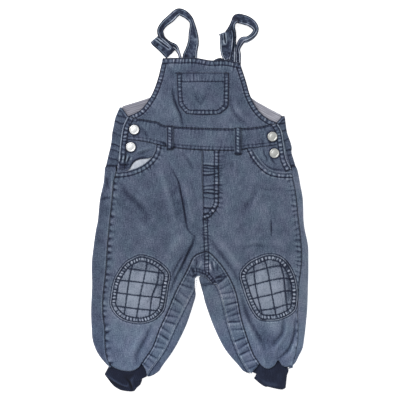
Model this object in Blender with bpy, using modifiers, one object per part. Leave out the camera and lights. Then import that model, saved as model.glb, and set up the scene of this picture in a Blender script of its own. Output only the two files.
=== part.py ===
"""Denim baby dungarees with knee patches and rib cuffs, laid flat on their back.

Every piece that a maker would cut and sew is one object. +X is the wearer's left hand side,
+Y points to the shoulder straps and +Z up from the table. Tables are in millimetres.
"""

import math

import bpy

MM = 0.001

# Driving dimensions, in millimetres.
DENIM = 1.0
LINING = 1.0
RIB = 1.2
STRAP = 1.6
GAP = 0.3
SEAM_GAP = 0.6
BUTTON_RADIUS = 7.0
BUTTON_HEIGHT = 3.2
BACK_FOLD_HEIGHT = 6.8
LEG_FOLD_HEIGHT = 10.0
CROTCH = -112.0
CROTCH_BLEND = 60.0

# Between these stations the backs change from lying flat to curling up into leg tubes.
CURL_START = -106.0
CURL_END = -116.0
FLAT_TAIL = 2.0
CURL_SLACK = 1.8

# Height of the top cloth: at the side edges and along the middle, for each station y.
TOP_HEIGHT = [
    (206, 6.3, 8.6),
    (190, 6.3, 8.8),
    (170, 5.8, 8.9),
    (150, 6.0, 9.4),
    (128, 8.6, 10.6),
    (112, 10.0, 11.9),
    (60, 10.0, 13.4),
    (0, 10.0, 15.0),
    (-60, 10.0, 15.5),
    (-200, 10.0, 15.0),
    (-235, 10.0, 12.6),
    (-262, 9.6, 10.8),
]

# Where the top cloth's side edges run, for each station y.
SPAN = [
    (206, -56, 60),
    (175, -62, 66),
    (150, -72, 75),
    (129, -90, 88),
    (118, -112, 110),
    (60, -128, 130),
    (46, -137, 141),
    (0, -145, 149),
    (-45, -151, 152),
    (-94, -157, 157),
    (-161, -157, 155),
    (-204, -154, 151),
    (-228, -146, 143),
    (-246, -131, 132),
    (-262, -118, 120),
]

# Inner folds of the legs below the crotch: y, fold of the left leg, fold of the right leg.
INNER_FOLDS = [
    (-50, 8, 8),
    (-104, -3, -2),
    (-112, -3.6, -2.4),
    (-116, -7.5, -1.8),
    (-128, -7.5, 1),
    (-139, -7, 4),
    (-160, -12, 11),
    (-184, -21, 20),
    (-212, -36, 34),
    (-236, -51, 53),
    (-262, -78, 80),
]

# Side folds of the back above the waist seam: y, left, right.
BACK_FOLDS = [
    (134, -117, 121),
    (119, -122, 125),
    (94, -127, 129),
    (67, -132, 134),
    (50, -137, 139),
]

# Seams on the front as (x, y), each from the waist or the crotch down. A strip faces each inner leg seam.
CENTRE_SEAM = [(2, 71), (4, 20), (8, -30), (9, -60), (9, -75)]
STRIP_FRONT_LEFT = [
    (9, -75),
    (-8, -83),
    (-18, -103),
    (-34, -133),
    (-47, -164),
    (-58, -188),
    (-68, -214),
    (-84, -238),
]
STRIP_BACK_LEFT = [
    (9, -105),
    (0, -106),
    (-9, -108),
    (-15, -115),
    (-16, -128),
    (-18, -142),
    (-26, -160),
    (-38, -187),
    (-49, -212),
    (-63, -236),
    (-74, -252),
]
STRIP_FRONT_RIGHT = [
    (9, -75),
    (19, -83),
    (37, -104),
    (51, -133),
    (59, -170),
    (68, -200),
    (77, -224),
    (86, -238),
]
STRIP_BACK_RIGHT = [(9, -105), (18, -111), (33, -148), (43, -186), (54, -220), (71, -245)]
OUTSEAM_LEFT = [
    (-121, 40),
    (-125, 20),
    (-127, -30),
    (-132, -50),
    (-136, -104),
    (-140, -141),
    (-138, -186),
    (-125, -241),
]
OUTSEAM_RIGHT = [
    (132.5, 33),
    (140, 8),
    (143, -30),
    (144.5, -50),
    (147, -88),
    (143, -128),
    (139, -186),
    (125, -243),
]
HEM_LOWEST_LEFT = (-105, -249)
HEM_LOWEST_RIGHT = (103, -246)

# The curved front pockets: centre and half-axes of the quarter ellipse that the opening follows.
POCKET_LEFT = {"x": -121, "y": 79, "across": 57, "down": 39}
POCKET_RIGHT = {"x": 132.5, "y": 73, "across": 62.5, "down": 40}

# The waistband's two seams, from side to side.
WAIST_TOP = [
    (-105, 120),
    (-87, 116),
    (-63, 112),
    (-48, 106),
    (1, 103),
    (50, 102),
    (82, 104),
    (101, 108),
    (113, 110),
]
WAIST_BOTTOM = [
    (-115, 88),
    (-80, 84),
    (-63, 80),
    (-37, 75),
    (1, 72),
    (50, 71),
    (69, 74),
    (81, 75),
    (111, 79),
    (122, 82),
]

# Knee patches: middle, half-axes and lean of an oval with squared-off sides.
KNEE_LEFT = {"x": -85, "y": -130, "across": 41.5, "along": 49.5, "lean": -11}
KNEE_RIGHT = {"x": 99.5, "y": -128, "across": 39.5, "along": 48, "lean": 10}
KNEE_SQUARENESS = 2.5

# Straps, from the seam on the back to the free end: x, y, width, lean in degrees, height of the low edge.
STRAP_LEFT = [
    (-13.5, 168, 22, 0, 2.6),
    (-13.5, 196, 22, 0, 2.6),
    (-13.5, 208, 22, 4, 2.3),
    (-11, 219, 22, 32, 0.8),
    (-9, 230, 22, 50, 0.4),
    (-9, 244, 22, 58, 0.4),
    (-11, 255, 22, 72, 0.4),
    (-17, 264, 22, 68, 0.4),
    (-28, 271.5, 22, 60, 0.4),
    (-40, 263, 22, 62, 0.4),
    (-52, 254, 22, 64, 0.4),
    (-58, 244, 20, 64, 0.4),
    (-54, 234, 12, 34, 0.4),
    (-44, 226, 8, 25, 0.4),
    (-34, 221, 6, 20, 0.4),
    (-30, 213, 5, 20, 0.8),
    (-31, 204, 5, 0, 2.6),
    (-31, 190, 5, 0, 2.6),
]
STRAP_RIGHT = [
    (40, 165, 20, 0, 2.6),
    (40, 196, 20, 0, 2.6),
    (41, 207, 20, 0, 2.2),
    (42, 222, 22, 0, 0.6),
    (42, 234, 22, -6, 0.4),
    (45, 247, 22, -50, 0.4),
    (48, 258, 22, -68, 0.4),
    (57, 265, 22, -56, 0.4),
    (69, 264, 22, -58, 0.4),
    (78, 257, 22, -68, 0.4),
    (81, 246, 22, -74, 0.4),
    (77, 237, 22, -72, 0.4),
    (68, 231, 22, -66, 0.4),
    (60, 224, 15, -52, 0.4),
    (58, 215, 9, -30, 0.6),
    (57, 206, 7, -4, 2.2),
    (56.5, 190, 7, 0, 2.6),
]
TAB_LEFT = [(-67, 236, 21, 36, 1.0), (-55, 225, 21, 36, 1.0), (-42, 213, 21, 34, 1.0)]
TAB_RIGHT = [
    (36, 243, 21, 20, 5.0),
    (36, 230, 21, 6, 4.6),
    (37, 218, 20, 4, 3.4),
    (39, 208, 17, 2, 4.4),
]

# Rib cuffs: the ends of the hidden top row, the ends of the mouth, and how far the mouth bows down.
CUFF_LEFT = {"top": ((-122, -238), (-82, -241)), "mouth": ((-138, -255), (-86, -268)), "bow": 15}
CUFF_RIGHT = {"top": ((79, -239), (123, -238)), "mouth": ((79, -263), (126, -275)), "bow": 5}
CUFF_TOP_HEIGHT = 7.3
CUFF_MOUTH_HEIGHT = 8.8
CUFF_LIFT = 1.35

# Belt loops on the waistband: left edge, right edge, upper end, lower end.
LOOP_LEFT = (-48, -39, 107, 72)
LOOP_RIGHT = (50, 60, 104, 65)
LOOP_THICKNESS = 1.4
LOOP_ARCH = 1.2

PLACKET_WIDTH = 8.0

INDIGO = (0.105, 0.150, 0.225)
PALE_INDIGO = (0.190, 0.245, 0.330)
NAVY = (0.018, 0.026, 0.055)
GREY = (0.330, 0.330, 0.380)
WHITE = (0.550, 0.580, 0.660)
STEEL = (0.780, 0.780, 0.760)


def clear_scene():
    for thing in list(bpy.data.objects):
        bpy.data.objects.remove(thing, do_unlink=True)


def lerp(a, b, t):
    return a + (b - a) * t


def smooth(t):
    t = min(max(t, 0.0), 1.0)
    return t * t * (3 - 2 * t)


def look_up(table, y):
    """The table's other columns at y, between the two rows that hold it. The rows run down in y."""
    if y >= table[0][0]:
        return table[0][1:]
    for upper, lower in zip(table, table[1:]):
        if y >= lower[0]:
            t = (upper[0] - y) / (upper[0] - lower[0])
            return tuple(lerp(a, b, t) for a, b in zip(upper[1:], lower[1:]))
    return table[-1][1:]


def crowned(x, low, high, edge, crown):
    u = min(abs((2 * x - low - high) / (high - low)), 1.0)
    return edge + (crown - edge) * (1 - u**3)


def top(x, y):
    """Height of the outer face of the top cloth, which is highest along each leg and along the body."""
    edge, crown = look_up(TOP_HEIGHT, y)
    left, right = look_up(SPAN, y)
    body = crowned(x, left, right, edge, crown)
    if y > CROTCH + CROTCH_BLEND:
        return body
    inner_left, inner_right = look_up(INNER_FOLDS, y)
    if 2 * x < inner_left + inner_right:
        leg = crowned(x, left, inner_left, edge, crown)
    else:
        leg = crowned(x, inner_right, right, edge, crown)
    return lerp(body, leg, smooth((CROTCH + CROTCH_BLEND - y) / CROTCH_BLEND))


def between(a, b, c, d, t):
    """The value at t between b and c of the smooth line through all four."""
    square = a - 2.5 * b + 2 * c - d / 2
    cube = 1.5 * (b - c) + (d - a) / 2
    return b + (c - a) * t / 2 + square * t**2 + cube * t**3


def curve(points, per_span=6):
    """A smooth line through the points (Catmull-Rom), in every column alike."""
    padded = [points[0], *points, points[-1]]
    made = []
    for spot in zip(padded, padded[1:], padded[2:], padded[3:]):
        for step in range(per_span):
            made.append(tuple(between(*values, step / per_span) for values in zip(*spot)))
    made.append(tuple(float(value) for value in points[-1]))
    return made


def along(points, t):
    """The place at the fraction t of a line's length."""
    lengths = [math.dist(a, b) for a, b in zip(points, points[1:])]
    left = t * sum(lengths)
    for a, b, length in zip(points, points[1:], lengths):
        if left <= length:
            return tuple(lerp(p, q, left / length) for p, q in zip(a, b))
        left -= length
    return tuple(points[-1])


def quarter_ellipse(pocket, side, grow=0.0):
    """The pocket opening's curve, from the outseam up to the waist seam."""
    points = []
    for step in range(9):
        angle = math.pi / 2 * (1 - step / 8)
        x = pocket["x"] + side * (pocket["across"] + grow) * math.cos(angle)
        y = pocket["y"] - (pocket["down"] + grow) * math.sin(angle)
        points.append((x, y))
    return points


def patch(first, last, start, end, rows, columns):
    """Plan points of a panel between four edges: first and last are its sides, start and end its ends."""
    grid = []
    for i in range(rows + 1):
        t = i / rows
        row = []
        for j in range(columns + 1):
            s = j / columns
            sides = [lerp(a, b, s) for a, b in zip(along(first, t), along(last, t))]
            ends = [lerp(a, b, t) for a, b in zip(along(start, s), along(end, s))]
            corners = [
                lerp(lerp(a, b, s), lerp(c, d, s), t)
                for a, b, c, d in zip(first[0], last[0], first[-1], last[-1])
            ]
            row.append(tuple(a + b - c for a, b, c in zip(sides, ends, corners)))
        grid.append(row)
    return grid


def inset(points, dx=0.0, dy=0.0):
    return [(x + dx, y + dy) for x, y in points]


def material(name, colour, roughness, metallic=0.0):
    made = bpy.data.materials.new(name)
    made.use_nodes = True
    shader = made.node_tree.nodes["Principled BSDF"]
    shader.inputs["Base Color"].default_value = (*colour, 1.0)
    shader.inputs["Roughness"].default_value = roughness
    shader.inputs["Metallic"].default_value = metallic
    made.diffuse_color = (*colour, 1.0)
    return made


def add_object(name, points, faces, finish):
    mesh = bpy.data.meshes.new(name)
    mesh.from_pydata([tuple(value * MM for value in point) for point in points], [], faces)
    mesh.materials.append(finish)
    made = bpy.data.objects.new(name, mesh)
    PARTS.objects.link(made)
    return made


def add_cloth(name, grid, thickness, finish, closed=False):
    """A wall of cloth whose outer face goes through the grid's points. Rows run down, columns across."""
    columns = len(grid[0])
    points = [point for row in grid for point in row]
    faces = []
    for i in range(len(grid) - 1):
        for j in range(columns if closed else columns - 1):
            k = (j + 1) % columns
            low, high = i * columns, (i + 1) * columns
            faces.append((low + j, high + j, high + k, low + k))
    made = add_object(name, points, faces, finish)
    wall = made.modifiers.new("Cloth", "SOLIDIFY")
    wall.thickness = thickness * MM
    wall.offset = -1
    return made


def lay(name, plan, lift, thickness, finish):
    """Cloth that lies on the top surface, its outer face lifted by lift."""
    grid = [[(x, y, top(x, y) + lift) for x, y in row] for row in plan]
    return add_cloth(name, grid, thickness, finish)


def make_bib():
    left = [(-54, 204), (-61, 175), (-70, 151), (-86, 130), (-105, 120.8)]
    right = [(58, 197), (66, 173), (73, 149), (84, 129), (113, 110.8)]
    upper = [(-54, 204), (-6, 204), (16, 201), (37, 203), (58, 197)]
    lower = [(x, y + SEAM_GAP) for x, y in WAIST_TOP]
    lower[0] = left[-1]
    lower[-1] = right[-1]
    lay("bib_front", patch(left, right, upper, lower, 10, 16), 0.0, DENIM, DENIM_BLUE)


def make_bib_pocket():
    left = [(-34, 184), (-31, 133), (-22, 123)]
    right = [(43, 184), (43, 135), (35, 123)]
    plan = patch(left, right, [left[0], right[0]], [left[-1], right[-1]], 8, 6)
    lay("bib_pocket", plan, GAP + DENIM, DENIM, DENIM_BLUE)


def make_waistband():
    left = [WAIST_TOP[0], (-112, 105), WAIST_BOTTOM[0]]
    right = [WAIST_TOP[-1], (119, 98), WAIST_BOTTOM[-1]]
    lay("waistband_front", patch(left, right, WAIST_TOP, WAIST_BOTTOM, 4, 16), 0.0, DENIM, DENIM_BLUE)


def make_side_panels():
    seam = [(x, y - GAP) for x, y in WAIST_BOTTOM]
    upper = seam[:3]
    lower = [(-121, 38), (-108, 44), (-100, 51), (-90, 58), (-79, 65), (-72, 70), (-62, 74)]
    plan = patch([upper[0], (-118, 58), lower[0]], [upper[-1], lower[-1]], upper, lower, 6, 8)
    lay("side_panel_left", plan, -GAP - DENIM, DENIM, DENIM_BLUE)
    upper = seam[-1:-5:-1]
    lower = quarter_ellipse(POCKET_RIGHT, -1, 4.0)
    plan = patch([lower[0], (127, 58), upper[0]], [lower[-1], upper[-1]], lower, upper, 6, 8)
    lay("side_panel_right", plan, -GAP - DENIM, DENIM, DENIM_BLUE)


def make_pocket_bag():
    outer, inner = [(-112, 50), (-106, 33)], [(-70, 72), (-64, 50)]
    plan = patch(outer, inner, [outer[0], inner[0]], [outer[1], inner[1]], 3, 5)
    lay("pocket_bag_left", plan, -2 * (GAP + DENIM) - GAP, LINING, COTTON_WHITE)


def make_fronts():
    seam = [(x, y - GAP) for x, y in WAIST_BOTTOM]
    sides = {
        "left": (OUTSEAM_LEFT, STRIP_FRONT_LEFT, quarter_ellipse(POCKET_LEFT, 1), seam[2:5]),
        "right": (OUTSEAM_RIGHT, STRIP_FRONT_RIGHT, quarter_ellipse(POCKET_RIGHT, -1), seam[6:3:-1]),
    }
    for side, (outseam, strip, pocket, waist) in sides.items():
        sign = -1 if side == "left" else 1
        upper = pocket + waist[1:]
        upper[-1] = (CENTRE_SEAM[0][0] + sign * GAP, CENTRE_SEAM[0][1] - GAP)
        outer = curve([upper[0], *outseam[1:]])
        inner = [upper[-1]]
        inner += [(x + sign * GAP, y) for x, y in CENTRE_SEAM[1:]]
        inner += [(x + sign * SEAM_GAP, y + 2 * SEAM_GAP) for x, y in curve(strip)[3:]]
        lower = curve([outer[-1], HEM_LOWEST_LEFT if side == "left" else HEM_LOWEST_RIGHT, inner[-1]])
        if side == "left":
            plan = patch(outer, inner, upper, lower, 20, 12)
        else:
            plan = patch(inner, outer, upper[::-1], lower[::-1], 20, 12)
        lay("front_" + side, plan, 0.0, DENIM, DENIM_BLUE)


def make_inseam_plackets():
    lines = {"left": (STRIP_FRONT_LEFT, STRIP_BACK_LEFT), "right": (STRIP_BACK_RIGHT, STRIP_FRONT_RIGHT)}
    for side, (first, last) in lines.items():
        sign = -1 if side == "left" else 1
        first = curve([(first[0][0] + sign * GAP / 2, first[0][1]), *first[1:]])
        last = curve([(last[0][0] + sign * GAP / 2, last[0][1]), *last[1:]])
        plan = patch(first, last, [first[0], last[0]], [first[-1], last[-1]], 20, 2)
        lay("inseam_placket_" + side, plan, 0.0, DENIM, DENIM_BLUE)


def make_fly():
    left = [(3, 70), (5, -29)]
    right = [(27, 69), (27, 8), (25, -8), (20, -19), (12, -27), (6, -30)]
    plan = patch(left, right, [left[0], right[0]], [left[-1], right[-1]], 10, 3)
    lay("fly_front", plan, GAP + DENIM, DENIM, DENIM_BLUE)


def make_plackets():
    left = [(-105, 119), (-112, 105), (-115, 86), (-118, 58), (-120, 45)]
    inner = inset(left, dx=PLACKET_WIDTH)
    inner[0] = (-95, 116)
    plan = patch(left, inner, [left[0], inner[0]], [left[-1], inner[-1]], 8, 2)
    lay("placket_left", plan, GAP + DENIM, DENIM, DENIM_BLUE)
    right = [(113, 109), (119, 99), (122, 81), (126, 58), (134, 42)]
    inner = inset(right, dx=-PLACKET_WIDTH)
    inner[0] = (104, 107)
    plan = patch(inner, right, [inner[0], right[0]], [inner[-1], right[-1]], 8, 2)
    lay("placket_right", plan, GAP + DENIM, DENIM, DENIM_BLUE)


def make_belt_loops():
    rows = 5
    for side, (low, high, upper, lower) in (("left", LOOP_LEFT), ("right", LOOP_RIGHT)):
        grid = []
        for i in range(rows + 1):
            t = i / rows
            y = lerp(upper, lower, t)
            arch = LOOP_ARCH * math.sin(math.pi * t)
            row = []
            for x in (low, (low + high) / 2, high):
                row.append((x, y, top(x, y) + 2 * GAP + LOOP_THICKNESS + arch))
            grid.append(row)
        add_cloth("belt_loop_" + side, grid, LOOP_THICKNESS, DENIM_BLUE)


def make_knee_patches():
    for side, knee in (("left", KNEE_LEFT), ("right", KNEE_RIGHT)):
        lean = math.radians(knee["lean"])
        rings, spokes = 3, 28
        points = [(knee["x"], knee["y"])]
        for ring in range(1, rings + 1):
            for spoke in range(spokes):
                angle = 2 * math.pi * spoke / spokes
                cos, sin = math.cos(angle), math.sin(angle)
                size = (abs(cos) ** KNEE_SQUARENESS + abs(sin) ** KNEE_SQUARENESS) ** (-1 / KNEE_SQUARENESS)
                across = knee["across"] * size * cos * ring / rings
                length = knee["along"] * size * sin * ring / rings
                x = knee["x"] + across * math.cos(lean) - length * math.sin(lean)
                y = knee["y"] + across * math.sin(lean) + length * math.cos(lean)
                points.append((x, y))
        faces = []
        for spoke in range(spokes):
            follow = (spoke + 1) % spokes
            faces.append((0, 1 + spoke, 1 + follow))
            for ring in range(rings - 1):
                low, high = 1 + ring * spokes, 1 + (ring + 1) * spokes
                faces.append((low + spoke, high + spoke, high + follow, low + follow))
        solid = [(x, y, top(x, y) + 2 * GAP + DENIM) for x, y in points]
        made = add_object("knee_patch_" + side, solid, faces, DENIM_PALE)
        wall = made.modifiers.new("Cloth", "SOLIDIFY")
        wall.thickness = DENIM * MM
        wall.offset = -1


def arc(x, height, side, steps=4):
    """The outer face of a side fold, from the top down: side is -1 for a left fold and 1 for a right one."""
    radius = height / 2
    points = []
    for step in range(steps + 1):
        angle = math.pi / 2 - math.pi * step / steps
        out = side * radius * (math.cos(angle) - 1)
        points.append((x + out, radius + radius * math.sin(angle)))
    return points


def leg_section(side, y, seam, strip):
    """A trouser back's section at y, from the outseam on top, round below, to the inner end."""
    sign = -1 if side == "left" else 1
    left, right = look_up(SPAN, y)
    inner_left, inner_right = look_up(INNER_FOLDS, y)
    fold, inner = (left, inner_left) if side == "left" else (right, inner_right)
    height = LEG_FOLD_HEIGHT
    outer_arc = arc(fold, height, sign)
    middle_x = lerp(seam, outer_arc[0][0], 0.5)
    section = [(seam, y, top(seam, y)), (middle_x, y, top(middle_x, y))]
    section += [(x, y, z) for x, z in outer_arc]
    bottom_start = outer_arc[-1][0]
    curl = smooth((CURL_START - y) / (CURL_START - CURL_END))
    turn = math.pi * max(curl, 0.001)
    bend = math.pi * height / 2
    tail = lerp(FLAT_TAIL, abs(strip - inner) - height / 2, curl)
    flat_start = inner + sign * (GAP / 2 + bend + tail)
    start = lerp(flat_start, inner + sign * height / 2, curl) + sign * CURL_SLACK * math.sin(turn)
    for step in range(1, 4):
        section.append((lerp(bottom_start, start, step / 4), y, 0.0))
    for step in range(5):
        angle = turn * step / 4
        x = start - sign * bend / turn * math.sin(angle)
        z = bend / turn * (1 - math.cos(angle))
        section.append((x, y, z))
    for step in (1, 2):
        out = tail * step / 2
        tail_x = x - sign * out * math.cos(turn)
        section.append((tail_x, y, z + out * math.sin(turn) + curl * (top(tail_x, y) - height)))
    return section


def at_height(line, y):
    """x of a line of (x, y) points where it passes y. The line runs down."""
    return look_up([(py, px) for px, py in line], y)[0]


def make_back_legs():
    stations = [48, 30, 8, -14, -32, -50, -70, -90, -106, -108, -110, -112, -114, -116]
    stations += [-124, -138, -155, -172, -190, -208, -224, -236, -246]
    lines = {
        "left": (curve(OUTSEAM_LEFT), curve(STRIP_BACK_LEFT)[6:]),
        "right": (curve(OUTSEAM_RIGHT), curve(STRIP_BACK_RIGHT)[6:]),
    }
    for side, (outseam, strip) in lines.items():
        sign = -1 if side == "left" else 1
        grid = []
        for y in stations:
            seam = at_height(outseam, y) + sign * SEAM_GAP
            inner_left, inner_right = look_up(INNER_FOLDS, y)
            inner = inner_left if side == "left" else inner_right
            reach = inner + sign * (LEG_FOLD_HEIGHT / 2 + 1.0)
            strip_x = at_height(strip, y) - sign * SEAM_GAP
            if side == "left":
                strip_x = min(strip_x, reach)
            else:
                strip_x = max(strip_x, reach)
            grid.append(leg_section(side, y, seam, strip_x))
        if side == "left":
            grid = [row[::-1] for row in grid]
        add_cloth("back_leg_" + side, grid, DENIM, DENIM_BLUE)


def make_back_bib():
    """The back above the waist: its sides fold over onto the top, its upper edge rises to the straps."""
    upper_edge = [(-112, 136), (-68, 151), (-30, 174), (52, 174), (74, 147), (96, 133), (117, 124)]
    rows = 5
    grid = []
    for i in range(rows + 1):
        t = i / rows
        left_y, right_y = lerp(134, 49, t), lerp(123, 49, t)
        left_fold = look_up(BACK_FOLDS, left_y)[0]
        right_fold = look_up(BACK_FOLDS, right_y)[1]
        height = BACK_FOLD_HEIGHT
        row = []
        for step in range(3):
            s = step / 3
            row.append((lerp(-90, left_fold + height / 2, s), lerp(lerp(100, 49, t), left_y, s), height))
        row += [(x, left_y, z) for x, z in arc(left_fold, height, -1)]
        start, end = row[-1][0], right_fold - height / 2
        for step in range(1, 10):
            s = step / 10
            edge_x, edge_y = along(upper_edge, s)
            row.append((lerp(edge_x, lerp(start, end, s), t), lerp(edge_y, 49, t), 0.0))
        row += [(x, right_y, z) for x, z in arc(right_fold, height, 1)[::-1]]
        for step in range(2, -1, -1):
            s = step / 3
            row.append((lerp(92, right_fold - height / 2, s), lerp(lerp(94, 49, t), right_y, s), height))
        grid.append(row[::-1])
    add_cloth("back_bib", grid, DENIM, DENIM_BLUE)


def make_back_lining():
    upper = [(-111, 133), (-68, 148.5), (-30, 170), (50, 170), (73, 145), (93, 131), (115, 121.5)]
    lower = [(-113, 95), (116, 92)]
    plan = patch([upper[0], lower[0]], [upper[-1], lower[-1]], upper, lower, 2, 12)
    level = DENIM + GAP + LINING
    grid = [[(x, y, level) for x, y in row] for row in plan]
    add_cloth("back_lining", grid, LINING, LINING_GREY)


def ribbon(name, rows, per_span, finish):
    """A strap whose width leans out of the flat: it stands on its low edge where it leans most."""
    route = curve(rows, per_span)
    grid = []
    for i, (x, y, width, lean, low) in enumerate(route):
        before, after = route[max(i - 1, 0)], route[min(i + 1, len(route) - 1)]
        run_x, run_y = after[0] - before[0], after[1] - before[1]
        length = math.hypot(run_x, run_y)
        side_x, side_y = -run_y / length, run_x / length
        angle = math.radians(lean)
        middle = max(low, 0.1) + STRAP + abs(math.sin(angle)) * width / 2
        row = []
        for s in (-0.5, 0.0, 0.5):
            out = s * width
            row.append(
                (
                    x + side_x * out * math.cos(angle),
                    y + side_y * out * math.cos(angle),
                    middle + out * math.sin(angle),
                )
            )
        grid.append(row)
    return add_cloth(name, grid, STRAP, finish)


def make_straps():
    ribbon("strap_left", STRAP_LEFT, 2, DENIM_BLUE)
    ribbon("strap_right", STRAP_RIGHT, 2, DENIM_BLUE)
    ribbon("strap_end_left", TAB_LEFT, 2, DENIM_BLUE)
    ribbon("strap_end_right", TAB_RIGHT, 2, DENIM_BLUE)


def make_cuffs():
    """Rib tubes, flattened. Their upper ends are hidden inside the hems."""
    steps = 12
    for side, cuff in (("left", CUFF_LEFT), ("right", CUFF_RIGHT)):
        grid = []
        for t in (0.0, 0.35, 0.6, 1.0):
            low = [lerp(a, b, t) for a, b in zip(cuff["top"][0], cuff["mouth"][0])]
            high = [lerp(a, b, t) for a, b in zip(cuff["top"][1], cuff["mouth"][1])]
            height = lerp(CUFF_TOP_HEIGHT, CUFF_MOUTH_HEIGHT, smooth((t - 0.2) / 0.8))
            lift = CUFF_LIFT * (1 - t**3)
            row = []
            for step in range(2 * steps):
                over = step < steps
                s = (step if over else 2 * steps - step) / steps
                u = 2 * s - 1
                rise = (1 - abs(u) ** 4) ** 0.5
                z = lift + height / 2 + (1 if over else -1) * rise * height / 2
                drop = cuff["bow"] * t * (1 - u * u) * (0.75 if over else 1.0)
                row.append((lerp(low[0], high[0], s), lerp(low[1], high[1], s) - drop, z))
            grid.append(row)
        add_cloth("cuff_" + side, grid, RIB, RIB_NAVY, closed=True)


def make_buttons():
    spots = {
        "button_upper_left": (-95, 101, GAP),
        "button_lower_left": (-100, 76, -DENIM),
        "button_upper_right": (105, 91, GAP),
        "button_lower_right": (108, 67, -DENIM),
    }
    profile = [
        (0.0, BUTTON_HEIGHT),
        (3.0, BUTTON_HEIGHT - 0.3),
        (5.4, BUTTON_HEIGHT - 0.9),
        (BUTTON_RADIUS, 1.2),
        (BUTTON_RADIUS - 0.4, 0.6),
        (4.0, 0.0),
        (0.0, 0.0),
    ]
    for name, (x, y, lift) in spots.items():
        mesh = bpy.data.meshes.new(name)
        edges = [(k, k + 1) for k in range(len(profile) - 1)]
        mesh.from_pydata([(r * MM, 0.0, z * MM) for r, z in profile], edges, [])
        mesh.materials.append(METAL)
        made = bpy.data.objects.new(name, mesh)
        PARTS.objects.link(made)
        around = [top(x + dx, y + dy) for dx in (-4, 0, 4) for dy in (-4, 0, 4)]
        made.location = (x * MM, y * MM, (max(around) + lift + 0.05) * MM)
        turn = made.modifiers.new("Turn", "SCREW")
        turn.steps = 20
        turn.render_steps = 20
        turn.use_merge_vertices = True
        turn.merge_threshold = 0.00001


def main():
    make_bib()
    make_bib_pocket()
    make_waistband()
    make_side_panels()
    make_pocket_bag()
    make_fronts()
    make_inseam_plackets()
    make_fly()
    make_plackets()
    make_belt_loops()
    make_knee_patches()
    make_back_legs()
    make_back_bib()
    make_back_lining()
    make_straps()
    make_cuffs()
    make_buttons()


clear_scene()
PARTS = bpy.data.collections.new("baby_dungarees")
bpy.context.scene.collection.children.link(PARTS)
DENIM_BLUE = material("washed_denim", INDIGO, 0.9)
DENIM_PALE = material("pale_denim", PALE_INDIGO, 0.9)
RIB_NAVY = material("navy_rib", NAVY, 0.95)
LINING_GREY = material("grey_lining", GREY, 0.9)
COTTON_WHITE = material("white_pocketing", WHITE, 0.9)
METAL = material("pale_metal", STEEL, 0.3, 1.0)
main()
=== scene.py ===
# %% [markdown]
# # Baby dungarees in washed denim, laid flat
#
# This lesson builds a pair of baby dungarees as they lie on a table, front up: every piece that a maker
# cuts and sews is one mesh, and the topstitching is made of real stitches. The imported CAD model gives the
# frame, the size and the names of the pieces. All tables are in millimetres, with +X to the right, +Y to
# the shoulder straps and +Z up from the table.

import math

import bpy
import numpy as np
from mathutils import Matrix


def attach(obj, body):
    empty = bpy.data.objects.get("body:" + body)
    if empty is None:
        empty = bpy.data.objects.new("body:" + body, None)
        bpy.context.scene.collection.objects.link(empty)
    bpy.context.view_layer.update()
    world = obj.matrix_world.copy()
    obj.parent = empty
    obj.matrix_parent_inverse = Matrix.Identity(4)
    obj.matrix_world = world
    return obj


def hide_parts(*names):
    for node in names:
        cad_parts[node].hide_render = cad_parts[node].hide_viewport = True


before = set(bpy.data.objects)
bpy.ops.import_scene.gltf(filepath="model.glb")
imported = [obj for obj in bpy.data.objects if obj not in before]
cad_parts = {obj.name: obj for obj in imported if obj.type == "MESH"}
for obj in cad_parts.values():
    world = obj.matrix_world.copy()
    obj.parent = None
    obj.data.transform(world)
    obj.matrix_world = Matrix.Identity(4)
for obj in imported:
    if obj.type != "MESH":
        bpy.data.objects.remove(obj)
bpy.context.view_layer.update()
MM = 0.001

# %% [markdown]
# ## Lines and panels
#
# A pattern cutter draws smooth lines through a few points. `smooth_line` does the same with a
# Catmull-Rom curve, and `panel` fills the space between four such lines with an even net of points,
# as a Coons patch. `bell` and `ease` shape every soft change. Working on whole NumPy arrays keeps it quick.


# %% Soft changes, and smooth lines through a few points
def bell(away, width):
    """1 where away is 0, and almost nothing at twice the width."""
    return np.exp(-((away / width) ** 2))


def ease(t):
    """The share t, from 0 to 1, with a soft start and end."""
    return t * t * (3 - 2 * t)


def spread(line, step):
    """Points about one step apart along a line of any number of columns."""
    run = distances(line)
    count = max(int(round(run[-1] / step)), 1)
    return at(line, np.linspace(0, run[-1], count + 1))


def distances(line):
    """How far along the line each of its points is."""
    steps = np.linalg.norm(np.diff(line[:, : min(3, line.shape[1])], axis=0), axis=1)
    return np.concatenate([[0.0], np.cumsum(steps)])


def at(line, along):
    """The places at given distances along a line."""
    run = distances(line)
    return np.stack([np.interp(along, run, column) for column in line.T], axis=-1)


def smooth_line(points, step=2.0):
    """A curve through the points, closed if the last point is the first."""
    p = np.array(points, float)
    if np.allclose(p[0], p[-1]):
        p = np.vstack([p[-2], p, p[1]])
    else:
        p = np.vstack([2 * p[0] - p[1], p, 2 * p[-1] - p[-2]])
    t = np.linspace(0, 1, 16, endpoint=False)[:, None]
    spans = []
    for a, b, c, d in zip(p, p[1:], p[2:], p[3:]):
        square = a - 2.5 * b + 2 * c - d / 2
        cube = 1.5 * (b - c) + (d - a) / 2
        spans.append(b + (c - a) * t / 2 + square * t**2 + cube * t**3)
    return spread(np.vstack([*spans, p[-2]]), step)


def shifted(line, out):
    """The line moved sideways by out, to its left."""
    run = np.gradient(line[:, :2], axis=0)
    run /= np.linalg.norm(run, axis=1, keepdims=True)
    return line[:, :2] + out * np.stack([-run[:, 1], run[:, 0]], axis=1)


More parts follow.
